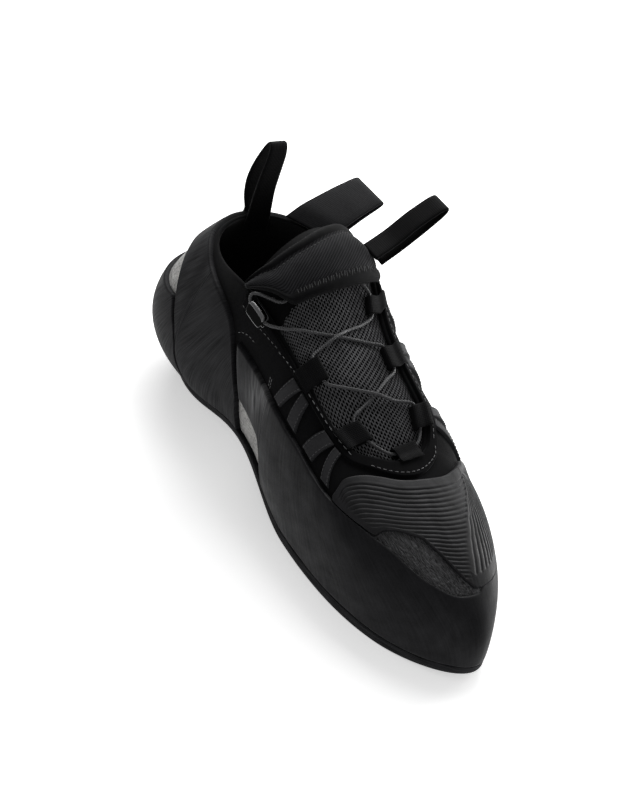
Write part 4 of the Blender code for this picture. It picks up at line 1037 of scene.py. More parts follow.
# Rubber. Scuffs are soft patches of the rand painted light at the lateral waist: rubbed wear together with a
# painted highlight of the rubber's gloss there
ScuffAndHighlight = namedtuple("ScuffAndHighlight", "u v reach_u reach_v strength")
RAND_SCUFFS_AND_HIGHLIGHTS = (ScuffAndHighlight(0.275, 0.50, 0.015, 0.15, 0.85), ScuffAndHighlight(0.255, 0.60, 0.014, 0.08, 0.70))
RAND_SLAB = Slab(1.2, RUBBER_RISE, 0.2, 1.3, 0.9)
HEEL_SLAB = Slab(1.2, RUBBER_RISE, 0.2, 1.0, 0.9)
TOE_SLAB = Slab(0.42, RUBBER_RISE, 0.7, 1.2, 0.8)


# Slight unevenness of a hand-lasted rubber sheet. A wavelength is in mm for each radian, along and across
# the strip, and SWELLS are multiplied with each other.
Wavelength = namedtuple("Wavelength", "at from_low")
SWELLS = (Wavelength(11.0, 17.0), Wavelength(-29.0, 8.0))
SWELL_HEIGHT = 0.10
RIPPLE = Wavelength(4.7, -6.1)
RIPPLE_HEIGHT = 0.05


def wave_at(place, length):
    """Height of a wave, from -1 to 1."""
    return np.sin(place.at / length.at + place.from_low / length.from_low)


def soft_waves(place):
    swell = wave_at(place, SWELLS[0]) * wave_at(place, SWELLS[1])
    return SWELL_HEIGHT * swell + RIPPLE_HEIGHT * wave_at(place, RIPPLE)


# Crease of the toe patch, between its upper face and its medial facet
CREASE_V = np.array([0.44, 0.61, 0.658, 0.72, 0.768, 0.805, 0.86])
CREASE_U = np.array([0.002, -0.0011, -0.0025, -0.0062, -0.0135, -0.0304, -0.060])
RIB_PITCH = 2.15
RIB_DEPTH = 0.42
RIB_START = 4.2
FACET_PITCH = 1.45
FACET_DEPTH = 0.8 * RIB_DEPTH
GROOVE = 0.17
FOLD_HEIGHT = 0.12
FOLD_WIDTH = 1.4
# Distances in mm over which ribs begin. The low end of the cross ribs comes nearer the edge by RIB_LOW_NEAR
# beside the crease.
UPPER_FACE_SPAN = (0.2, 1.4)
FACET_SPAN = (0.0, 1.0)
NEAR_SPAN = (12.0, 28.0)
RIB_TOP_SPAN = (RIB_START - 1.2, RIB_START + 0.6)
RIB_LOW_SPAN = (2.5, 6.0)
RIB_LOW_NEAR = (1.9, 4.6)
RIB_END_SPAN = (3.0, 9.0)
FACET_TOP_SPAN = (2.0, 5.0)
FACET_END_SPAN = (2.0, 6.0)
FACET_LOW_SPAN = (6.5, 8.0)


def ridge(phase):
    """Rib profile with a narrow groove: 0 in the groove and 1 on the crest."""
    return 1 - np.exp(-(((phase % 1.0) - 0.5) / GROOVE)**2)


def ramp(value, start, finish):
    t = np.clip((value - start) / (finish - start), 0, 1)
    return t * t * (3 - 2 * t)


def toe_relief(place):
    """Cross ribs behind the eye-shaped opening and lengthwise ribs on the medial facet."""
    around = from_toe(place.u)
    beside = (around - np.interp(place.v, CREASE_V, CREASE_U)) * UPPER_SPAN
    near = 1 - ramp(beside, *NEAR_SPAN)
    low_start, low_end = (far - nearer * near for far, nearer in zip(RIB_LOW_SPAN, RIB_LOW_NEAR))
    cross = (ridge((place.from_top - RIB_START) / RIB_PITCH) - 1) * ramp(beside, *UPPER_FACE_SPAN)
    cross = cross * ramp(place.from_top, *RIB_TOP_SPAN) * ramp(place.from_low, low_start, low_end)
    cross = cross * ramp(place.from_end, *RIB_END_SPAN)
    length = (ridge(beside / FACET_PITCH) - 1) * ramp(-beside, *FACET_SPAN)
    length = length * ramp(place.from_top, *FACET_TOP_SPAN) * ramp(place.from_end, *FACET_END_SPAN)
    length = length * ramp(place.from_low, *FACET_LOW_SPAN)
    fold = FOLD_HEIGHT * np.exp(-(beside / FOLD_WIDTH)**2)
    return RIB_DEPTH * cross + FACET_DEPTH * length + fold


def make_rubber():
    rand = RAND_WAIST + RAND_FRONT + mirrored(RAND_WAIST)
    band = HEEL_BAND_SIDE + (HEEL_BAND_BACK,) + round_the_heel(HEEL_BAND_SIDE)
    cup = HEEL_CUP_SIDE + (HEEL_CUP_BACK,) + round_the_heel(HEEL_CUP_SIDE)
    add_slab("front_rand", rand, RAND_SLAB, ("satin_rand_rubber",), soft_waves, "top",
             scuffs_and_highlights=RAND_SCUFFS_AND_HIGHLIGHTS)
    add_slab("toe_patch", TOE_PATCH_CUTS, TOE_SLAB, ("ribbed_toe_rubber", "satin_rand_rubber"),
             toe_relief, "low", smooth_corner)
    add_slab("heel_band", band, HEEL_SLAB, ("sanded_heel_rubber",), soft_waves)
    add_slab("heel_cup", cup, HEEL_SLAB, ("sanded_heel_rubber",), soft_waves)


# Leather in the eye-shaped opening: the upper pushes out between the rubber edges in fine wrinkles
EYE_CUTS = (
    Cut(0.060, 0.600, 0.060, 0.650), Cut(0.048, 0.590, 0.048, 0.680), Cut(0.030, 0.560, 0.030, 0.710),
    Cut(0.012, 0.450, 0.012, 0.720), Cut(0.004, 0.410, 0.004, 0.600), Cut(-0.004, 0.430, -0.004, 0.480),
)
EYE_SLAB = Slab(0.4, 0.5, 0.8, 0.8, 0.8)
EYE_TIP_RISE = 1.1
EYE_TIP_SPAN = (5.0, 16.0)


# Wrinkles cross each other. at and from_low turn a set of them, drift bends it along slow waves.
Wrinkle = namedtuple("Wrinkle", "at from_low drift pitch height")
WRINKLES = (Wrinkle(-0.45, 0.9, 1.0, 0.75, 0.22), Wrinkle(0.9, 0.5, -1.2, 0.62, 0.26))
Drift = namedtuple("Drift", "reach length")
DRIFTS = (Drift(1.3, Wavelength(3.1, 4.3)), Drift(0.9, Wavelength(-5.3, 1.9)))


def wrinkles(place):
    drift = sum(row.reach * wave_at(place, row.length) for row in DRIFTS)
    rise = EYE_TIP_RISE * (1 - ramp(place.at, *EYE_TIP_SPAN))
    for fold in WRINKLES:
        phase = place.at * fold.at + place.from_low * fold.from_low + drift * fold.drift
        rise = rise + fold.height * np.abs(np.sin(phase / fold.pitch))
    return rise


def make_eye_leather():
    grid, uv, _ = slab_grid(EYE_CUTS, EYE_SLAB, wrinkles)
    return add_grid("toe_leather", grid, uv, ("wrinkled_coated_leather",))


# Eyestay and webbing strips
EYESTAY_SLAB = Slab(1.0, EYESTAY_RISE, 0.5, 0.7, 0.6)
STRIP_SLAB = Slab(0.8, WEBBING_RISE, 0.4, 0.4, 0.45)


def make_strips():
    cuts = EYESTAY_SIDE + (EYESTAY_TOE,) + mirrored(EYESTAY_SIDE)
    add_slab("eyestay", cuts, EYESTAY_SLAB, ("black_microsuede",))
    for strip in STRIPS:
        cuts = (
            Cut(strip.low_from, strip.low_v, strip.top_from, strip.top_v),
            Cut(strip.low_to, strip.low_v, strip.top_to, strip.top_v),
        )
        add_slab(strip.name, cuts, STRIP_SLAB, ("satin_tape",))


# Tongue: a closed dark core and over it a net of staggered oblong holes
TONGUE_STEPS = 70
TONGUE_REACH = 2.0
TONGUE_SPAN = 125.0
NET_ACROSS = 1.05
NET_ALONG = 2.3
NET_EDGE = 1.12
NET_DEPTH = 0.6
HOLE_ACROSS = 0.41
HOLE_ALONG = 0.82
NetRing = namedtuple("NetRing", "outside lift")
NET_RINGS = (NetRing(True, 0.48), NetRing(False, 0.34), NetRing(False, -0.70))
NET_WALK_STEPS = 401
NET_ARC_STEPS = 21
# The net ends under the flap; on the lateral side it stops before the flap's lower edge, and the bare dark
# core there is a painted shadow under that edge
NET_END_ACROSS = (-0.9, -0.5, 0.0)
NET_END_ALONG = (0.80, 0.83, 0.90)
NET_CORNERS = np.array([(-1, -1), (0, -1), (1, -1), (1, 0), (1, 1), (0, 1), (-1, 1), (-1, 0)], float)


def make_tongue():
    along = np.linspace(0, 1, TONGUE_STEPS)
    across = np.linspace(-TONGUE_REACH, TONGUE_REACH, TONGUE_STEPS + 1)
    outer = tongue_point(along[None, :], across[:, None], -NET_DEPTH)
    inner = tongue_point(along[None, :], across[::-1, None], -TONGUE)
    grid = np.concatenate([outer, inner, outer[:1]])
    rows = np.arange(len(grid), dtype=float)
    flat = np.stack(np.broadcast_arrays(along[None, :] * TONGUE_SPAN, rows[:, None]), axis=-1)
    kinds = np.zeros((len(grid) - 1, len(along) - 1), np.int32)
    # Past the net's end the core takes the dark tape, which beside the flap's lateral edge is a painted
    # shadow
    kinds[:, along[1:] > min(NET_END_ALONG)] = 1
    finishes = ("mesh_core_and_hole_shade", "smooth_binding_tape")
    return add_grid("tongue_core", grid, flat, finishes, ("tongue",), kinds.ravel())


def make_net():
    dense = np.linspace(0, 1, NET_WALK_STEPS)
    spine = tongue_point(dense, np.zeros_like(dense))
    walk = walked(spine)
    t = np.linspace(-1, 1, NET_ARC_STEPS)[:, None]
    arcs = np.linalg.norm(np.diff(tongue_point(dense[None, :], t), axis=0), axis=2).sum(axis=0)
    centres = []
    for i in range(1, int(walk[-1] / NET_ALONG) - 1):
        half = np.interp(i * NET_ALONG, walk, arcs) / 2 * NET_EDGE
        count = int(half / NET_ACROSS)
        centres += [(j * NET_ACROSS, (i + 0.5 * (j % 2)) * NET_ALONG) for j in range(-count, count)]
    centres = np.array(centres)
    side = centres[:, 0] / (np.interp(centres[:, 1], walk, arcs) / 2)
    hidden_and_shaded_from = np.interp(side, NET_END_ACROSS, NET_END_ALONG)
    centres = centres[np.interp(centres[:, 1], walk, dense) < hidden_and_shaded_from]
    size = np.array([NET_ACROSS, NET_ALONG]) / 2
    hole = np.array([HOLE_ACROSS, HOLE_ALONG])
    points = []
    charts = []
    for row in NET_RINGS:
        ring = NET_CORNERS * size if row.outside else unit(NET_CORNERS) * hole
        flat = centres[:, None, :] + ring[None, :, :]
        along = np.interp(flat[..., 1], walk, dense)
        across = flat[..., 0] / (np.interp(flat[..., 1], walk, arcs) / 2)
        points.append(over_tongue(along, across, np.full(along.shape, row.lift)))
        charts.append(flat)
    points = np.stack(points, axis=1).reshape(-1, 3)
    charts = np.stack(charts, axis=1).reshape(-1, 2)
    corners = len(NET_CORNERS)
    k = np.arange(corners)
    following = (k + 1) % corners
    band = np.stack([k, following, following + corners, k + corners], axis=1)
    bands = np.concatenate([band + corners * level for level in range(len(NET_RINGS) - 1)])
    first = np.arange(len(centres))[:, None, None] * corners * len(NET_RINGS)
    faces = (first + bands[None, :, :]).reshape(-1, 4)
    # Each hole's walls take the near-black core finish: painted shade in the holes
    kinds = np.tile(np.repeat([0, 1], corners), len(centres))
    finishes = ("grey_mesh_yarn", "mesh_core_and_hole_shade")
    return add_piece("tongue_net", points, faces, charts, finishes, (), kinds)


# Flap of the tongue: padded, with a rolled top, a sewn groove under it and a bound lower edge.
# height is the outer face above the inner one, for shares of the way from the lower edge to the top.
FlapRow = namedtuple("FlapRow", "share height kind")
FLAP_ROWS = (
    FlapRow(0.00, 0.4, 1), FlapRow(0.00, 1.8, 1), FlapRow(0.03, 2.9, 1), FlapRow(0.08, 3.5, 1),
    FlapRow(0.14, 3.4, 1), FlapRow(0.19, 2.9, 1), FlapRow(0.215, 2.3, 0), FlapRow(0.24, 2.4, 0),
    FlapRow(0.30, 2.8, 0), FlapRow(0.40, 3.2, 0), FlapRow(0.50, 3.35, 0), FlapRow(0.60, 3.2, 0),
    FlapRow(0.70, 2.8, 0), FlapRow(0.76, 2.3, 0), FlapRow(0.79, 1.8, 0), FlapRow(0.82, 2.4, 1),
    FlapRow(0.86, 3.3, 1), FlapRow(0.91, 3.8, 1), FlapRow(0.96, 3.5, 1), FlapRow(0.995, 2.4, 1),
    FlapRow(1.0, 1.2, 1), FlapRow(0.99, 0.3, 1), FlapRow(0.80, 0.0, 2), FlapRow(0.40, 0.0, 2),
    FlapRow(0.05, 0.1, 2),
)
# Whip stitches over the bound lower edge, and the seam under the top roll
FlapWhip = namedtuple(
    "FlapWhip", "from_across to_across count low_share low_height top_share top_height slant")
FLAP_WHIP = FlapWhip(-0.42, 0.90, 34, 0.155, 3.25, 0.235, 2.45, 0.022)
FlapSeam = namedtuple("FlapSeam", "share height from_across to_across pitch length")
FLAP_SEAM = FlapSeam(0.755, 2.42, -0.85, 0.90, 2.2, 1.3)
# How unevenly the whip stitches are set: turn from one to the next, and what it changes
Unevenness = namedtuple("Unevenness", "turn across slant low_share top_share")
WHIP_UNEVEN = Unevenness(2.4, 0.2, 0.6, 0.015, 0.012)
FLAP_STEPS = 90
FLAP_FINE = 4
FLAP_ROUNDS = 3
FLAP_END = 0.07
FLAP_END_LEAST = 0.12
FLAP_CHART_COLUMN = 20


def flap_surface(share, across, height):
    table = columns_of(FLAP_EDGES)
    start = easy_curve(table["across"], table["start"], across)
    finish = easy_curve(table["across"], table["finish"], across)
    lift = SEAT_GAP + FLAP_LIFT * (1 - share**2)
    return over_tongue(start + share * (finish - start), across, lift + height)


def eased_ring(values):
    """Closed row of values, its first repeated at the end, with its corners eased."""
    ring = values[:-1]
    ring = (np.roll(ring, 1) + 2 * ring + np.roll(ring, -1)) / 4
    return np.append(ring, ring[0])


def make_flap():
    rows = np.array([row[:2] for row in FLAP_ROWS])
    rows = np.vstack([rows, rows[:1]])
    knots = np.arange(len(rows))
    at = np.linspace(0, len(rows) - 1, FLAP_FINE * (len(rows) - 1) + 1)
    share = np.interp(at, knots, rows[:, 0])
    height = np.interp(at, knots, rows[:, 1])
    for _ in range(FLAP_ROUNDS):
        share = eased_ring(share)
        height = eased_ring(height)
    across = np.linspace(FLAP_EDGES[0].across, FLAP_EDGES[-1].across, FLAP_STEPS)
    ends = quarter(np.minimum(across - across[0], across[-1] - across), FLAP_END)
    height = height[None, :] * np.maximum(ends, FLAP_END_LEAST)[:, None]
    share, across = np.broadcast_arrays(share[None, :], across[:, None])
    grid = flap_surface(share, across, height)
    walk = walked(grid[FLAP_STEPS // 2])
    sideways = walked(grid[:, FLAP_CHART_COLUMN])
    uv = np.stack(np.broadcast_arrays(walk[None, :], sideways[:, None]), axis=-1)
    kind_of = np.array([row.kind for row in FLAP_ROWS])
    column_kind = kind_of[np.arange(len(at) - 1) // FLAP_FINE]
    kinds = np.broadcast_to(column_kind[None, :], (FLAP_STEPS - 1, len(at) - 1))
    finishes = ("padded_twill", "smooth_binding_tape", "brushed_lining")
    flap = add_grid("tongue_pad", grid, uv, finishes, ("tongue_flap",), kinds.ravel())


# Bands: webbing and elastic with rounded selvedges
BAND_FLAT = 7
BAND_EDGE = 5


def band_section(half_width, half_thick):
    """Points round a flat band: across it and off its middle."""
    flat = np.linspace(-1, 1, BAND_FLAT) * (half_width - half_thick)
    turn = np.linspace(np.pi / 2, -np.pi / 2, BAND_EDGE + 2)[1:-1]
    edge = np.stack([half_width - half_thick + half_thick * np.cos(turn), half_thick * np.sin(turn)], axis=1)
    top = np.stack([flat, np.full(BAND_FLAT, half_thick)], axis=1)
    half = np.concatenate([top, edge])
    return np.concatenate([half, -half, half[:1]])


def closed_ends(path, rows, charts):
    """Rows round a path, drawn together to one point at both ends, and their flat map."""
    first, last = (np.broadcast_to(end, rows[0].shape) for end in (path[0], path[-1]))
    return np.array([first] + rows + [last]), np.array([charts[0]] + charts + [charts[-1]])


def add_band(name, path, sides, thickness, finish):
    tangent = unit(np.gradient(path, axis=0))
    across = unit(sides)
    normal = unit(np.cross(sides, tangent))
    middle = path - normal * thickness / 2
    rows = []
    charts = []
    walk = walked(path)
    for i in range(len(path)):
        section = band_section(np.linalg.norm(sides[i]), thickness / 2)
        rows.append(middle[i] + section[:, :1] * across[i] + section[:, 1:] * normal[i])
        charts.append(np.stack([section[:, 0], np.full(len(section), walk[i])], axis=1))
    grid, uv = closed_ends(middle, rows, charts)
    return add_grid(name + "_band", grid, uv, (finish,), (name,))


def loop_tip(loop):
    """Place on the tongue where a loop ends, far enough past the lace for its own bend."""
    root = np.array([loop.root_along, loop.root_across])
    lace = np.array([loop.lace_along, loop.lace_across])
    seat = tongue_point(*root)
    reach = np.linalg.norm(tongue_point(*lace) - seat) + LACE / 2 + LOOP_TIP_ROOM + LOOP_WEB
    tip = lace
    for _ in range(TIP_ROUNDS):
        tip = root + (tip - root) * reach / np.linalg.norm(tongue_point(*tip) - seat)
    return root, tip


def in_plane(direction, normal):
    """Part of a direction that lies square to the normals, at unit length."""
    return unit(direction - normal * np.sum(direction * normal, axis=-1, keepdims=True))


def make_lace_loops():
    height = SEAT_GAP + 2 * LOOP_WEB + LACE + 2 * LOOP_PLAY
    bends = columns_of(LOOP_BENDS)
    for loop in LACE_LOOPS:
        root, tip = loop_tip(loop)
        place = root + bends["reach"][:, None] * (tip - root)
        over = over_tongue(place[:, 0], place[:, 1], SEAT_GAP + bends["height"] * (height - SEAT_GAP))
        rib = np.linalg.norm(wall(loop.u, 1.0) - wall(loop.u, 1 - RIM_SHARE)) / RIM_SHARE
        seat_u = np.full(2, loop.u)
        seat_v = np.array([1 - LOOP_SEAT / rib, 1.0])
        on_wall = skin(seat_u, seat_v, SEAT_GAP + EYESTAY + LOOP_PLAY + LOOP_WEB)
        normals = np.vstack([wall_frame(seat_u, seat_v)[0], tongue_normal(place[:, 0], place[:, 1])])
        sides = -in_plane(wall_frame(loop.u, 1.0)[1], normals) * loop.width / 2
        band = finer_path(np.column_stack([np.vstack([on_wall, over]), sides]), LOOP_STEPS)
        add_band(loop.name, band[:, :3], band[:, 3:], LOOP_WEB, "woven_webbing")


def hook_frame():
    normal, along, upward = wall_frame(HOOK_U, HOOK_V)
    return wall(HOOK_U, HOOK_V), normal, along, upward


HOOK_POINTS = 90
HOOK_ROUNDS = 3
HOOK_SECTIONS = 25
HOOK_END_WIDTH = 0.62
HOOK_SQUARE = 3
HOOK_STEP = 0.3
# Cosine of the turn between two steps of the section, below which a face counts as a rounded edge and gets
# the painted glint
HOOK_EDGE_BEND = 0.99


def make_hook():
    middle, normal, along, upward = hook_frame()
    corners = np.array(HOOK_PROFILE + HOOK_PROFILE[:1])
    ring = evenly(corners, HOOK_POINTS)[:-1]
    for _ in range(HOOK_ROUNDS):
        ring = (np.roll(ring, 1, axis=0) + 2 * ring + np.roll(ring, -1, axis=0)) / 4
    ring = np.vstack([ring, ring[:1]])
    core = ring.mean(axis=0)
    rows = [np.broadcast_to(core, ring.shape)]
    places = [-HOOK_LENGTH / 2]
    for at in np.linspace(-1, 1, HOOK_SECTIONS):
        width = HOOK_END_WIDTH + (1 - HOOK_END_WIDTH) * (1 - abs(at)**HOOK_SQUARE)**(1 / HOOK_SQUARE)
        rows.append(ring * [width, 1.0])
        places.append(at * HOOK_LENGTH / 2)
    rows.append(rows[0])
    places.append(HOOK_LENGTH / 2)
    flat = np.array(rows)
    lengthwise = np.array(places)[:, None]
    grid = middle + flat[..., :1] * upward + flat[..., 1:] * normal + lengthwise[..., None] * along
    uv = np.stack(np.broadcast_arrays(np.arange(len(ring)) * HOOK_STEP, lengthwise), axis=-1)
    steps = unit(np.diff(ring, axis=0))
    # Rounded edges take the light grey finish: a painted glint
    glint_faces = np.sum(steps * np.roll(steps, 1, axis=0), axis=1) < HOOK_EDGE_BEND
    kinds = np.broadcast_to(glint_faces[::-1], (len(flat) - 1, len(glint_faces))).astype(np.int32)
    finishes = ("glossy_moulded_plastic", "glint_painted_plastic_edge")
    add_grid("lace_hook_body", grid[:, ::-1], uv[:, ::-1], finishes, ("lace_hook",),
             kinds.ravel())


def lace_pass(stop):
    """Straight run of the lace through a loop, with a little before and after it."""
    loop = next(row for row in LACE_LOOPS if row.name == stop.loop)
    lift = SEAT_GAP + LOOP_WEB + LOOP_PLAY + LACE / 2
    middle = over_tongue(loop.lace_along, loop.lace_across, lift)
    flat = tongue_normal(loop.lace_along, loop.lace_across)
    forward = in_plane(wall_frame(loop.u, 1.0)[1], flat)
    half = forward * stop.turn * (loop.width / 2 + LACE)
    return [middle - half, middle, middle + half]


def lace_route():
    """Points of the lace from the hook through all loops and back to the hook."""
    base, normal, along, upward = hook_frame()
    channel = base + upward * HOOK_LACE.reach + normal * HOOK_LACE.height
    half = along * (HOOK_LENGTH / 2 + LACE)
    split = along * SEAT_GAP / 2
    points = [channel - split, channel - half]
    for stop, following in zip(LACE_STOPS[1:-1], LACE_STOPS[2:]):
        if stop.loop:
            points += lace_pass(stop)
            continue
        here = np.array(stop[2:])
        there = here if following.loop else np.array(following[2:])
        distance = np.linalg.norm(over_tongue(*there) - over_tongue(*here))
        count = int(distance // LACE_PITCH) + 1
        steps = here + (there - here) * np.arange(count)[:, None] / count
        points += list(over_tongue(*steps.T))
    for turn in HOOK_TURNS:
        points.append(base + along * turn.along + upward * turn.reach + normal * turn.height)
    return points + [channel + half, channel + split]


LACE_SIDES = 14


def tube_grid(path, radius, sides):
    """Rows of points round a path, with a frame that turns as little as it can, and a flat map."""
    tangent = unit(np.gradient(path, axis=0))
    side = in_plane(UP, tangent[0])
    turn = np.linspace(0, 2 * np.pi, sides + 1)
    walk = walked(path)
    rows = []
    charts = []
    for i in range(len(path)):
        side = in_plane(side, tangent[i])
        other = np.cross(tangent[i], side)
        rows.append(path[i] + radius * (np.cos(turn)[:, None] * side + np.sin(turn)[:, None] * other))
        charts.append(np.stack([turn * radius, np.full(sides + 1, walk[i])], axis=1))
    grid, uv = closed_ends(path, rows, charts)
    return grid[:, ::-1], uv[:, ::-1]


def make_lace():
    path = finer_path(np.array(lace_route()), LACE_STEPS)
    grid, uv = tube_grid(path, LACE / 2, LACE_SIDES)
    add_grid("lace_cord", grid, uv, ("braided_cord",), ("lace",))


def fold_path(seat, folds):
    """Centre points and half widths of a pull loop, from its seat."""
    table = columns_of(folds)
    return seat + np.stack([table["forward"], table["medial"], table["up"]], axis=1), table["half"]


def make_pull_loops():
    path, half = fold_path(wall(HEEL_U, 1.0), HEEL_TAB)
    seats = np.array((HEEL_TAB_FOOT,) + HEEL_TAB_SEATS)
    on_band = skin(np.full(len(seats), HEEL_TAB_U), seats, RUBBER_RISE + SEAT_GAP / 2)
    half = np.concatenate([np.full(len(seats), half[0]), half])
    band = finer_path(np.column_stack([np.vstack([on_band, path]), half]), STRAP_STEPS)
    add_band("heel_tab", band[:, :3], band[:, 3:] * MEDIAL, PULL_WEB, "woven_webbing")

    front, middle, rear = (wall(u, 1.0) for u in ELASTIC_U)
    path, half = fold_path(middle, ELASTIC_LOOP)
    table = columns_of(ELASTIC_LOOP)
    free = np.clip(table["medial"] / table["medial"].max(), 0, 1)[:, None]
    sides = (1 - free) * (rear - front) / 2 - free * FORWARD * half[:, None]
    band = finer_path(np.column_stack([path, sides]), STRAP_STEPS)
    add_band("elastic_loop", band[:, :3], band[:, 3:], ELASTIC, "heathered_elastic")

    ends = [flap_surface(np.array(share), np.array(across), FLAP) for share, across in TONGUE_LOOP_SEATS]
    rise = (SEAT_GAP + PULL_WEB) * tongue_normal(1.0, TONGUE_LOOP_SEATS[0][1])
    path, half = fold_path(ends[0] + rise, TONGUE_LOOP)
    path = finer_path(np.vstack([ends[0] + rise, path, ends[1] + rise]), STRAP_STEPS)
    sides = np.tile(-FORWARD * half[0], (len(path), 1))
    add_band("tongue_loop", path, sides, PULL_WEB, "woven_webbing")


# Stitches: short rounded threads along lines on the wall, all of one thread in one piece.
# A line is a row of (u, v) places. pitch and length are in mm.
StitchLine = namedtuple("StitchLine", "pitch length places")
EYESTAY_STITCHES = (
    StitchLine(2.8, 1.3, (
        (0.3421, 0.924), (0.3186, 0.893), (0.3025, 0.905),
        (0.2830, 0.925), (0.2589, 0.955), (0.2327, 0.972))),
    StitchLine(3.4, 2.0, (
        (0.2327, 0.972), (0.2078, 0.978), (0.1380, 0.978), (0.1024, 0.970), (0.0850, 0.958))),
    StitchLine(2.6, 1.6, (
        (0.0450, 0.948), (0.0259, 0.950), (0.0017, 0.952),
        (-0.0164, 0.950), (-0.0372, 0.948), (-0.0600, 0.955))),
    StitchLine(3.0, 1.8, ((-0.0800, 0.962), (-0.2000, 0.966), (-0.3400, 0.965))),
    StitchLine(2.4, 1.2, ((0.3347, 0.727), (0.3287, 0.759), (0.3200, 0.781), (0.3085, 0.787))),
    StitchLine(1.5, 1.2, ((0.2656, 0.745), (0.2615, 0.653))),
    StitchLine(1.5, 1.2, ((0.2620, 0.745), (0.2580, 0.653))),
)
StripStitch = namedtuple("StripStitch", "pitch length inset")
STRIP_STITCH = StripStitch(1.7, 1.1, 0.12)
STITCH_START = 0.3
STITCH_POINTS = 160
THREAD = 0.20
THREAD_RINGS = 5
THREAD_SIDES = 7
THREAD_DIP = 0.12
THREAD_ROUND = 0.6


def stitch(start, finish):
    """One thread that dips into the cloth at both ends."""
    t = np.linspace(0, 1, THREAD_RINGS)
    path = start + t[:, None] * (finish - start)
    grid, uv = tube_grid(path, 1.0, THREAD_SIDES)
    swell = np.sin(np.pi * (THREAD_DIP + (1 - 2 * THREAD_DIP) * t))**THREAD_ROUND
    swell = THREAD * np.concatenate([[0.0], swell, [0.0]])
    centre = np.vstack([path[:1], path, path[-1:]])[:, None, :]
    return centre + (grid - centre) * swell[:, None, None], uv


def add_stitches(name, pairs, finish):
    grids, charts = zip(*(stitch(start, end) for start, end in pairs))
    rows, columns = grids[0].shape[:2]
    faces = grid_faces(rows, columns)
    faces = (np.arange(len(grids))[:, None, None] * rows * columns + faces[None]).reshape(-1, 4)
    add_piece(name, np.array(grids).reshape(-1, 3), faces, np.array(charts).reshape(-1, 2), (finish,))


def along_line(points, pitch, length):
    """Ends of the stitches that follow a line of points."""
    walk = walked(points)
    begin = np.arange(STITCH_START, walk[-1] - length, pitch)
    start, finish = (np.stack([np.interp(at, walk, column) for column in points.T], axis=1)
                     for at in (begin, begin + length))
    return list(zip(start, finish))


def on_eyestay(u, v):
    """Height of the outer face above the wall, at the eyestay or beside it."""
    cuts = columns_of(mirrored(EYESTAY_SIDE) + (EYESTAY_TOE,) + EYESTAY_SIDE)
    around = from_toe(u)
    order = np.argsort(cuts["low_u"])
    edge = np.interp(around, cuts["low_u"][order], cuts["low_v"][order])
    covered = (v > edge) & (np.abs(around) < EYESTAY_SIDE[0].low_u)
    return np.where(covered, EYESTAY_RISE, 0.0) + THREAD / 4


def make_stitches():
    pairs = []
    t = np.linspace(0, 1, STITCH_POINTS)
    chart = np.array([UPPER_SPAN, UPPER_HEIGHT])
    for line in EYESTAY_STITCHES:
        u, v = (evenly(np.array(line.places) * chart, STITCH_POINTS) / chart).T
        pairs += along_line(skin(u, v, on_eyestay(u, v)), line.pitch, line.length)
    add_stitches("eyestay_stitches", pairs, "twisted_thread")

    pairs = []
    for strip in STRIPS:
        for share in (STRIP_STITCH.inset, 1 - STRIP_STITCH.inset):
            low = strip.low_from + share * (strip.low_to - strip.low_from)
            top = strip.top_from + share * (strip.top_to - strip.top_from)
            line = skin(low + t * (top - low), strip.low_v + t * (strip.top_v - strip.low_v),
                        np.full_like(t, WEBBING_RISE + THREAD / 4))
            pairs += along_line(line, STRIP_STITCH.pitch, STRIP_STITCH.length)
    add_stitches("strip_stitches", pairs, "dull_thread")

    pairs = []
    across = np.linspace(FLAP_WHIP.from_across, FLAP_WHIP.to_across, FLAP_WHIP.count)
    uneven = np.sin(np.arange(len(across)) * WHIP_UNEVEN.turn)
    across = across + WHIP_UNEVEN.across * FLAP_WHIP.slant * uneven
    shift = FLAP_WHIP.slant * (1 + WHIP_UNEVEN.slant * np.roll(uneven, 1))
    low_share = FLAP_WHIP.low_share + WHIP_UNEVEN.low_share * uneven
    top_share = FLAP_WHIP.top_share + WHIP_UNEVEN.top_share * uneven
    low = flap_surface(low_share, across, FLAP_WHIP.low_height)
    top = flap_surface(top_share, across + shift, FLAP_WHIP.top_height)
    pairs += list(zip(low, top))
    across = np.linspace(FLAP_SEAM.from_across, FLAP_SEAM.to_across, STITCH_POINTS)
    seam = flap_surface(np.full_like(across, FLAP_SEAM.share), across, FLAP_SEAM.height)
    pairs += along_line(seam, FLAP_SEAM.pitch, FLAP_SEAM.length)
    add_stitches("flap_stitches", pairs, "dull_thread")


# Camera, light and floor
Camera = namedtuple("Camera", "azimuth elevation roll lens distance right up")
CAMERA = Camera(48.96, 33.43, 17.58, 110.6, 1068.7, -7.3, 4.3)
CAMERA_CENTRE = np.array([120.0, 0.0, 45.0])
Lamp = namedtuple("Lamp", "name right up back size_x size_y power")
LAMPS = (
    Lamp("top_softbox", 100, 650, -150, 700, 500, 6.0),
    Lamp("right_strip", 600, 150, -350, 200, 700, 5.5),
    Lamp("front_softbox", 300, -250, 700, 500, 400, 0.9),
    Lamp("left_softbox", -700, 250, 300, 300, 400, 0.25),
)
CLIP_START = 0.01
# The floor glows a little, like a light table, so that the ground is as white as a studio sweep
FLOOR_HALF = 2.5
FLOOR_COLOUR = "f4f4f4"
FLOOR_ROUGH = 0.9
FLOOR_GLOW = 0.5
WHITE = "ffffff"
WORLD_GLOW = 0.25


def camera_axes():
    a, e, r = (math.radians(value) for value in CAMERA[:3])
    back = np.array([math.sin(a) * math.cos(e), -math.cos(a) * math.cos(e), math.sin(e)])
    level = np.array([math.cos(a), math.sin(a), 0.0])
    upright = np.cross(back, level)
    right = math.cos(r) * level + math.sin(r) * upright
    up = -math.sin(r) * level + math.cos(r) * upright
    return right, up, back


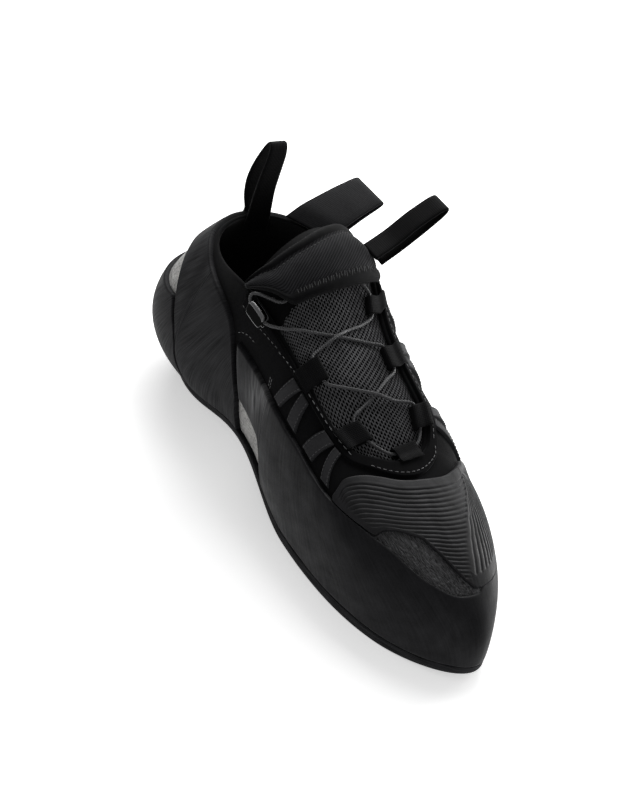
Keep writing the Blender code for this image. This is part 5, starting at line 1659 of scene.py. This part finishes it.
def facing(place, right, up, back):
    """World matrix of a camera or lamp that looks against back."""
    matrix = Matrix.Identity(4)
    for column, axis in enumerate((right, up, back)):
        for row in range(3):
            matrix[row][column] = axis[row]
    for row, value in enumerate(to_world(place)):
        matrix[row][3] = value
    return matrix


def make_camera():
    right, up, back = camera_axes()
    data = bpy.data.cameras.new("photo_camera")
    data.lens = CAMERA.lens
    data.clip_start = CLIP_START
    camera = bpy.data.objects.new("photo_camera", data)
    bpy.context.scene.collection.objects.link(camera)
    target = CAMERA_CENTRE + CAMERA.right * right + CAMERA.up * up
    camera.matrix_world = facing(target + CAMERA.distance * back, right, up, back)
    bpy.context.scene.camera = camera


def make_lamps():
    right, up, back = camera_axes()
    for lamp in LAMPS:
        light = bpy.data.lights.new(lamp.name, "AREA")
        light.shape = "RECTANGLE"
        light.size = lamp.size_x * MM
        light.size_y = lamp.size_y * MM
        light.energy = lamp.power
        source = bpy.data.objects.new(lamp.name, light)
        bpy.context.scene.collection.objects.link(source)
        offset = lamp.right * right + lamp.up * up + lamp.back * back
        away = unit(offset)
        level = unit(np.cross(up, away))
        source.matrix_world = facing(CAMERA_CENTRE + offset, level, np.cross(away, level), away)


def make_floor():
    mesh = bpy.data.meshes.new("floor")
    corners = [(x * FLOOR_HALF, y * FLOOR_HALF, 0.0) for x, y in ((-1, -1), (1, -1), (1, 1), (-1, 1))]
    mesh.from_pydata(corners, [], [(0, 1, 2, 3)])
    material = bpy.data.materials.new("pale_floor")
    material.use_nodes = True
    shader = material.node_tree.nodes["Principled BSDF"]
    shader.inputs["Base Color"].default_value = linear(FLOOR_COLOUR)
    shader.inputs["Roughness"].default_value = FLOOR_ROUGH
    shader.inputs["Emission Color"].default_value = linear(WHITE)
    shader.inputs["Emission Strength"].default_value = FLOOR_GLOW
    mesh.materials.append(material)
    floor = bpy.data.objects.new("floor", mesh)
    bpy.context.scene.collection.objects.link(floor)
    world = bpy.data.worlds.new("studio")
    world.use_nodes = True
    background = world.node_tree.nodes["Background"]
    background.inputs["Color"].default_value = linear(WHITE)
    background.inputs["Strength"].default_value = WORLD_GLOW
    bpy.context.scene.world = world
    bpy.context.scene.view_settings.view_transform = "Standard"


def main():
    add_sole(OUTSOLE_SHEET, sole_bottom, sole_top)
    add_sole(INSOLE_SHEET, insole_bottom, insole_top)
    make_upper()
    make_rubber()
    make_eye_leather()
    make_strips()
    make_tongue()
    make_net()
    make_flap()
    make_lace_loops()
    make_hook()
    make_lace()
    make_pull_loops()
    make_stitches()
    make_camera()
    make_lamps()
    make_floor()


main()
